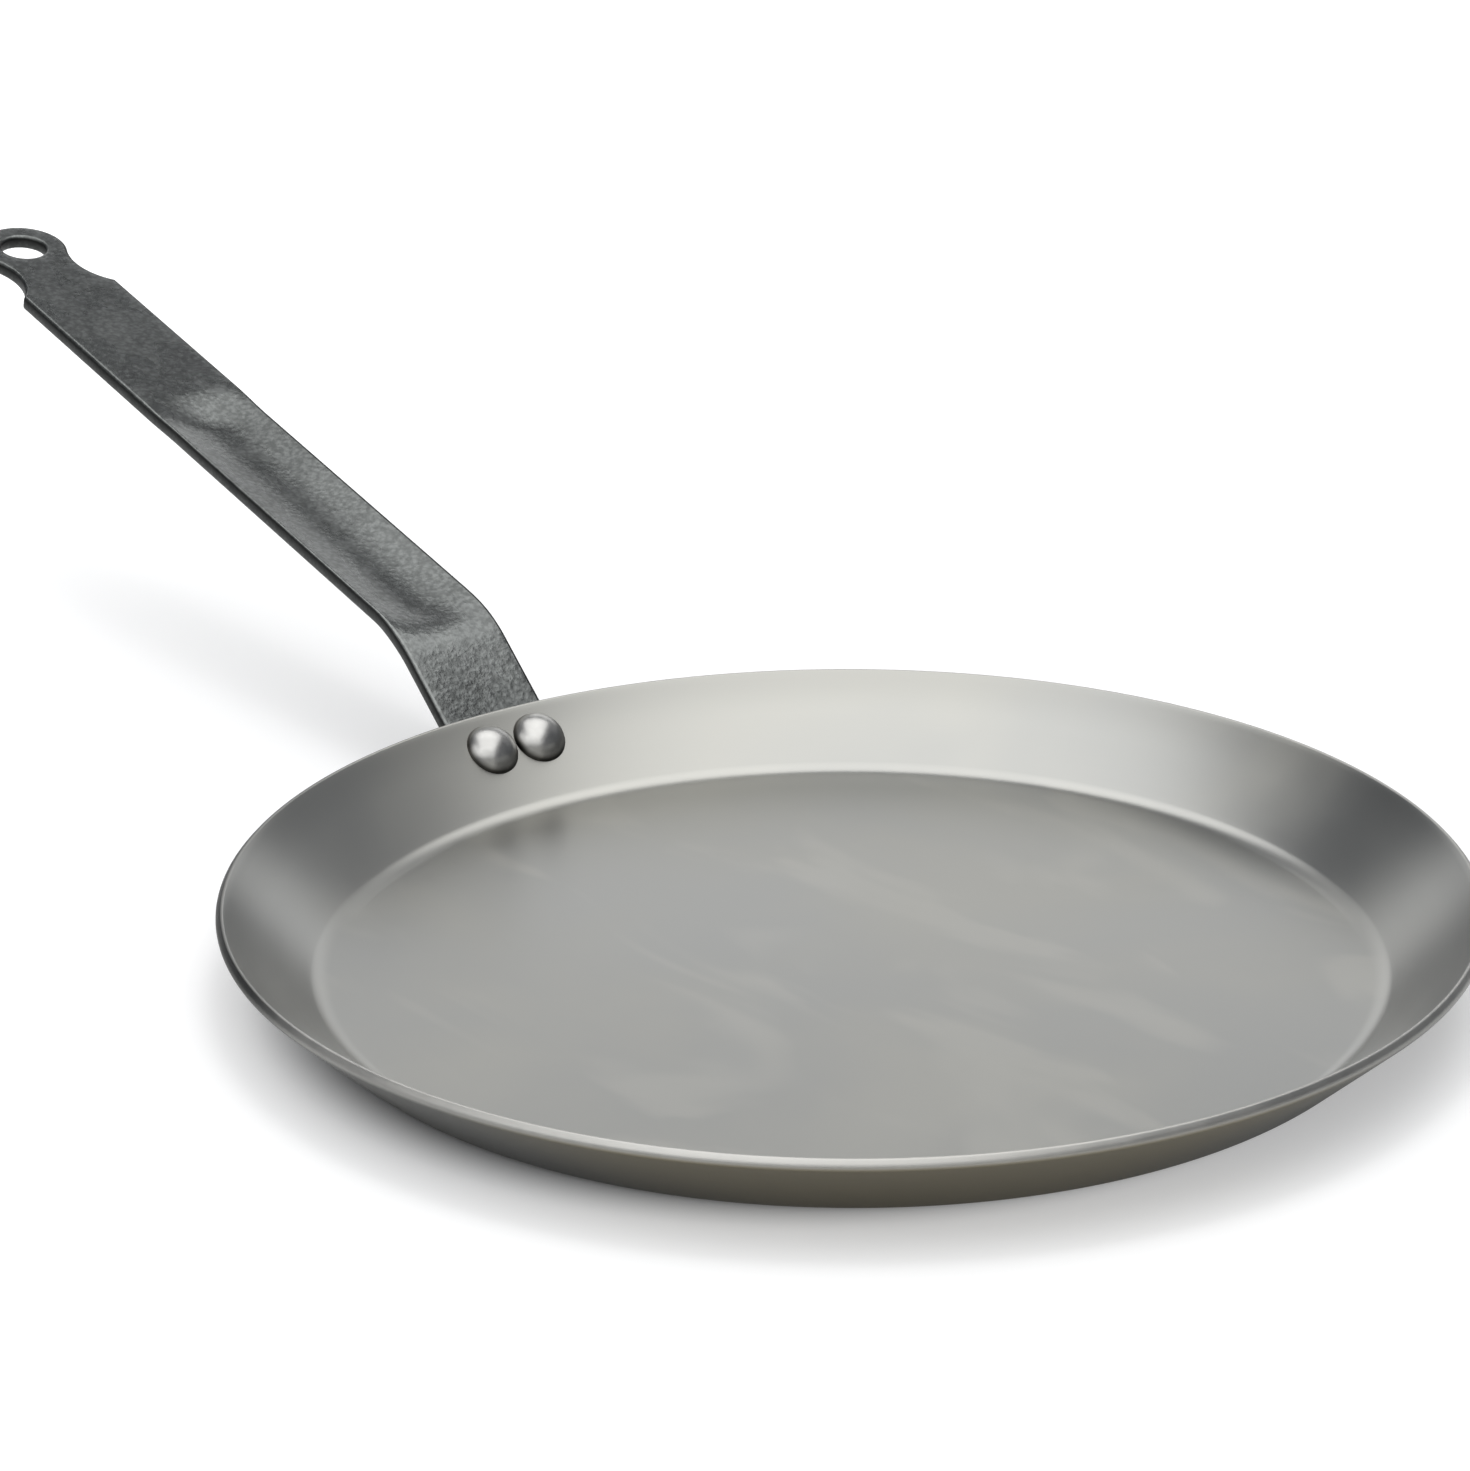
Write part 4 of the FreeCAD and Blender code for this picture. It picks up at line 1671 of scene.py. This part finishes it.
        low_seat = bench.opposite(given["Grip"])
        head = dome(given["Head Radius"], given["Head Height"], 0.0, 1.0)
        tail = dome(given["Set Head Radius"], given["Set Head Height"], low_seat, -1.0)
        sunk = bench.opposite(given["Sink"])
        raised = bench.plus(low_seat, given["Sink"])
        head_foot = lathe.point(given["Head Radius"], sunk)
        tail_foot = lathe.point(given["Set Head Radius"], raised)
        shank_top = lathe.point(given["Shank Radius"], sunk)
        shank_low = lathe.point(given["Shank Radius"], raised)
        return [
            lathe.arc(head, given["Dome Steps"]),
            lathe.line(head[2], head_foot),
            lathe.line(head_foot, shank_top),
            lathe.line(shank_top, shank_low),
            lathe.line(shank_low, tail_foot),
            lathe.line(tail_foot, tail[2]),
            lathe.arc(tail[::-1], given["Dome Steps"]),
        ]

    def paint(self, piece: bpy.types.Object) -> None:
        """Mark the foot of each head for the finish's painted shade.

        Args:
            piece: The rivets' object.
        """
        foot: list[float] = []
        for vertex in piece.data.vertices:
            place = (math.hypot(vertex.co.x, vertex.co.y), vertex.co.z)
            depth = along(place, self.seat, self.pan.off_wall)
            stand = max(-depth, depth - self.grip)
            foot.append(clamped(self.foot_shade_rate * (1 - stand / self.foot_shade_height)))
        paint_masks(piece, {Mask.SIDE: foot})


# Studio and camera


@dataclass(frozen=True)
class PhotoView:
    """Camera of the photograph, in a frame with X to its right, Y away from it and Z up."""

    focal_pixels: float = 5500.0
    frame_pixels: float = 1471.0
    sensor: float = 36.0
    distance: float = 1.135808
    elevation: float = math.radians(23.5975)
    yaw: float = math.radians(1.209)
    pitch: float = math.radians(2.4994)
    roll: float = math.radians(-0.2082)
    handle_azimuth: float = math.radians(127.6713)

    def to_frame(self) -> Matrix:
        """Turn from the camera's level frame to the pan's own axes."""
        return Matrix.Rotation(-self.handle_azimuth, 4, "Z")

    def build(self) -> bpy.types.Object:
        """Make the camera and give it to the scene.

        Returns:
            The camera's object.
        """
        data = bpy.data.cameras.new("photo_camera")
        data.sensor_width = self.sensor
        data.lens = self.focal_pixels * self.sensor / self.frame_pixels
        camera = bpy.data.objects.new("photo_camera", data)
        bpy.context.scene.collection.objects.link(camera)
        stand = Vector((0.0, -math.cos(self.elevation), math.sin(self.elevation))) * self.distance
        aim = Matrix.Rotation(math.pi / 2 - self.elevation, 4, "X")
        for angle, axis in ((self.yaw, "Y"), (self.pitch, "X"), (-self.roll, "Z")):
            aim = aim @ Matrix.Rotation(angle, 4, axis)
        camera.matrix_world = self.to_frame() @ Matrix.Translation(stand) @ aim
        bpy.context.scene.camera = camera
        return camera


class BoxUse(Enum):
    """Surfaces that a soft light works on."""

    ALL = "all"
    MATT = "matt"
    SHEEN = "sheen"


@dataclass(frozen=True)
class SoftBox:
    """A soft light that faces a point near the pan."""

    name: str
    place: tuple[float, float, float]
    aim: tuple[float, float, float]
    size: tuple[float, float]
    radiance: float
    use: BoxUse = BoxUse.ALL

    def build(self, turn: Matrix) -> bpy.types.Object:
        """Make the light.

        Args:
            turn: From the camera's level frame to the pan's own axes.

        Returns:
            The light's object.
        """
        data = bpy.data.lights.new(self.name, "AREA")
        data.shape = "RECTANGLE"
        data.size, data.size_y = self.size
        data.energy = self.radiance * math.pi * self.size[0] * self.size[1]
        light = bpy.data.objects.new(self.name, data)
        bpy.context.scene.collection.objects.link(light)
        toward = Vector(self.aim) - Vector(self.place)
        facing = toward.to_track_quat("-Z", "Y").to_matrix().to_4x4()
        light.matrix_world = turn @ Matrix.Translation(self.place) @ facing
        light.visible_camera = False
        light.visible_glossy = self.use is not BoxUse.MATT
        light.visible_diffuse = self.use is not BoxUse.SHEEN
        return light


@dataclass(frozen=True)
class Studio:
    """Pale floor, soft boxes and a dim room round them."""

    room: Colour = (0.112, 0.119, 0.132)
    floor_colour: Colour = (0.64, 0.64, 0.64)
    floor_half: float = 12.0
    floor_drop: float = 0.0001
    touch: float = 0.0004
    near_lift: float = 0.395
    far_lift: float = 0.95
    mirrored_share: float = 0.31
    near_reach: float = 0.12
    far_reach: float = 0.9
    # Painted shadow: the floor's lift is taken away round the pan's base, off centre towards one side
    painted_shadow_centre: tuple[float, float, float] = (0.0029, 0.0099, 0.0)
    painted_shadow_reach: tuple[float, float] = (0.0975, 0.116)
    boxes: tuple[SoftBox, ...] = (
        SoftBox("top_box", (-0.05, 0.0, 0.95), (-0.05, 0.0, 0.0), (1.3, 1.84), 1.76),
        SoftBox("back_box", (0.0, 1.6, 0.59), (0.0, 0.0, 0.49), (1.9, 0.64), 1.06),
        SoftBox("fill_box", (-0.05, -1.5, 0.9), (0.0, 0.0, 0.0), (1.9, 1.0), 1.3),
        SoftBox("left_box", (-1.2, -0.75, 0.8), (0.0, 0.0, 0.0), (1.3, 0.9), 1.3, use=BoxUse.SHEEN),
        SoftBox("side_box", (1.3, 0.95, 0.93), (0.0, 0.0, 0.0), (1.0, 0.8), 0.2),
        SoftBox("key_box", (0.0, 0.04, 0.95), (0.0, 0.04, 0.0), (0.22, 0.22), 6.6, use=BoxUse.MATT),
    )

    def build(self, turn: Matrix) -> None:
        """Light the scene and lay the floor.

        Args:
            turn: From the camera's level frame to the pan's own axes.
        """
        for box in self.boxes:
            box.build(turn)
        self.build_room()
        self.build_floor()

    def build_room(self) -> None:
        """Dim surroundings that the camera itself sees as white."""
        world = bpy.data.worlds.new("studio_room")
        world.use_nodes = True
        bpy.context.scene.world = world
        bench = NodeBench(world.node_tree)
        world.node_tree.nodes.clear()
        room = bench.add("ShaderNodeBackground", {"Color": rgba(self.room)})
        white = bench.add("ShaderNodeBackground", {"Color": rgba(WHITE)})
        seen = bench.add("ShaderNodeLightPath").outputs["Is Camera Ray"]
        mixed = bench.add("ShaderNodeMixShader", {0: seen, 1: room.outputs[0], 2: white.outputs[0]})
        bench.add("ShaderNodeOutputWorld", {"Surface": mixed.outputs[0]})

    def build_floor(self) -> None:
        """Pale floor that keeps the pan's shadow, with a painted shadow round the pan's base, and fades
        to white far away.
        """
        half, level = self.floor_half, -self.floor_drop
        places = ((-half, -half), (half, -half), (half, half), (-half, half))
        corners = [Vector((*place, level)) for place in places]
        floor = new_mesh_object("studio_floor", corners, [(0, 1, 2, 3)])
        floor.data.materials.append(self.floor_material())

    def floor_material(self) -> bpy.types.Material:
        """Matt white, lifted towards white where the camera or a reflection sees it, except round the
        pan's base, where a painted shadow takes the lift away.

        Returns:
            The floor's material.
        """
        material = bpy.data.materials.new("studio_floor")
        material.use_nodes = True
        material.node_tree.nodes.clear()
        bench = NodeBench(material.node_tree)
        place = bench.add("ShaderNodeTexCoord").outputs["Object"]
        reach = bench.add("ShaderNodeVectorMath", {0: place}, operation="LENGTH").outputs["Value"]
        lift = bench.ranged(reach, self.near_reach, self.far_reach, self.near_lift, self.far_lift)
        # Painted shadow round the pan's base
        apart = bench.add(
            "ShaderNodeVectorMath", {0: place, 1: self.painted_shadow_centre}, operation="DISTANCE"
        ).outputs["Value"]
        painted_shadow = bench.ranged(apart, *self.painted_shadow_reach, 0.0, 1.0)
        lift = bench.times(lift, painted_shadow)
        path = bench.add("ShaderNodeLightPath").outputs
        mirrored = bench.math("MAXIMUM", path["Is Glossy Ray"], path["Is Transmission Ray"])
        reflected = bench.times(mirrored, self.mirrored_share)
        seen = bench.math("MAXIMUM", path["Is Camera Ray"], reflected)
        matt = bench.add("ShaderNodeBsdfDiffuse", {"Color": rgba(self.floor_colour)})
        glow = bench.add("ShaderNodeEmission", {"Strength": bench.times(lift, seen)})
        both = bench.add("ShaderNodeAddShader", {0: matt.outputs[0], 1: glow.outputs[0]})
        behind = bench.add("ShaderNodeNewGeometry").outputs["Backfacing"]
        close_by = bench.math("LESS_THAN", path["Ray Length"], self.touch)
        hidden = bench.math("MAXIMUM", behind, bench.times(mirrored, close_by))
        clear = bench.add("ShaderNodeBsdfTransparent")
        sided = bench.add("ShaderNodeMixShader", {0: hidden, 1: both.outputs[0], 2: clear.outputs[0]})
        bench.add("ShaderNodeOutputMaterial", {"Surface": sided.outputs[0]})
        return material


# Assembly


def hand_over(piece: bpy.types.Object, nodes: Sequence[Node]) -> None:
    """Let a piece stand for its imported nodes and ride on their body.

    Args:
        piece: Finished piece.
        nodes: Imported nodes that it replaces.
    """
    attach(piece, BODY)
    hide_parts(*[node.value for node in nodes])
    names = [node.value for node in nodes]
    LOG.info("%s: %d faces, for %s", piece.name, len(piece.data.polygons), names)


def main() -> None:
    """Build the pieces, the studio and the camera."""
    logging.basicConfig(level=logging.INFO, format="%(name)s: %(message)s")
    bpy.context.scene.view_settings.view_transform = "Standard"
    effects = EffectLibrary()
    pan_steel = SatinSteel("satin_carbon_steel", Slot.PAN)
    handle_steel = GrainedSteel("grained_handle_steel", Slot.HANDLE)
    rivet_steel = PolishedSteel("polished_rivet_steel", Slot.RIVET)

    pan = PanBody.from_frame()
    handle = StripHandle(pan)
    rivets = RivetPair(pan, handle)

    pan_piece = pan.build(pan_steel.build(effects))
    pan.pierce(pan_piece, rivets.axes())
    pan.paint(pan_piece)
    hand_over(pan_piece, [Node.PAN])

    handle_piece = handle.build(rivets.palm_places(), pan.hole_radius)
    handle_piece.data.materials.append(handle_steel.build(effects))
    hand_over(handle_piece, [Node.HANDLE])

    rivet_piece = rivets.build(rivet_steel.build(effects))
    rivets.paint(rivet_piece)
    hand_over(rivet_piece, [Node.LEFT_RIVET, Node.RIGHT_RIVET])

    view = PhotoView()
    view.build()
    Studio().build(view.to_frame())


if __name__ == "__main__":
    main()
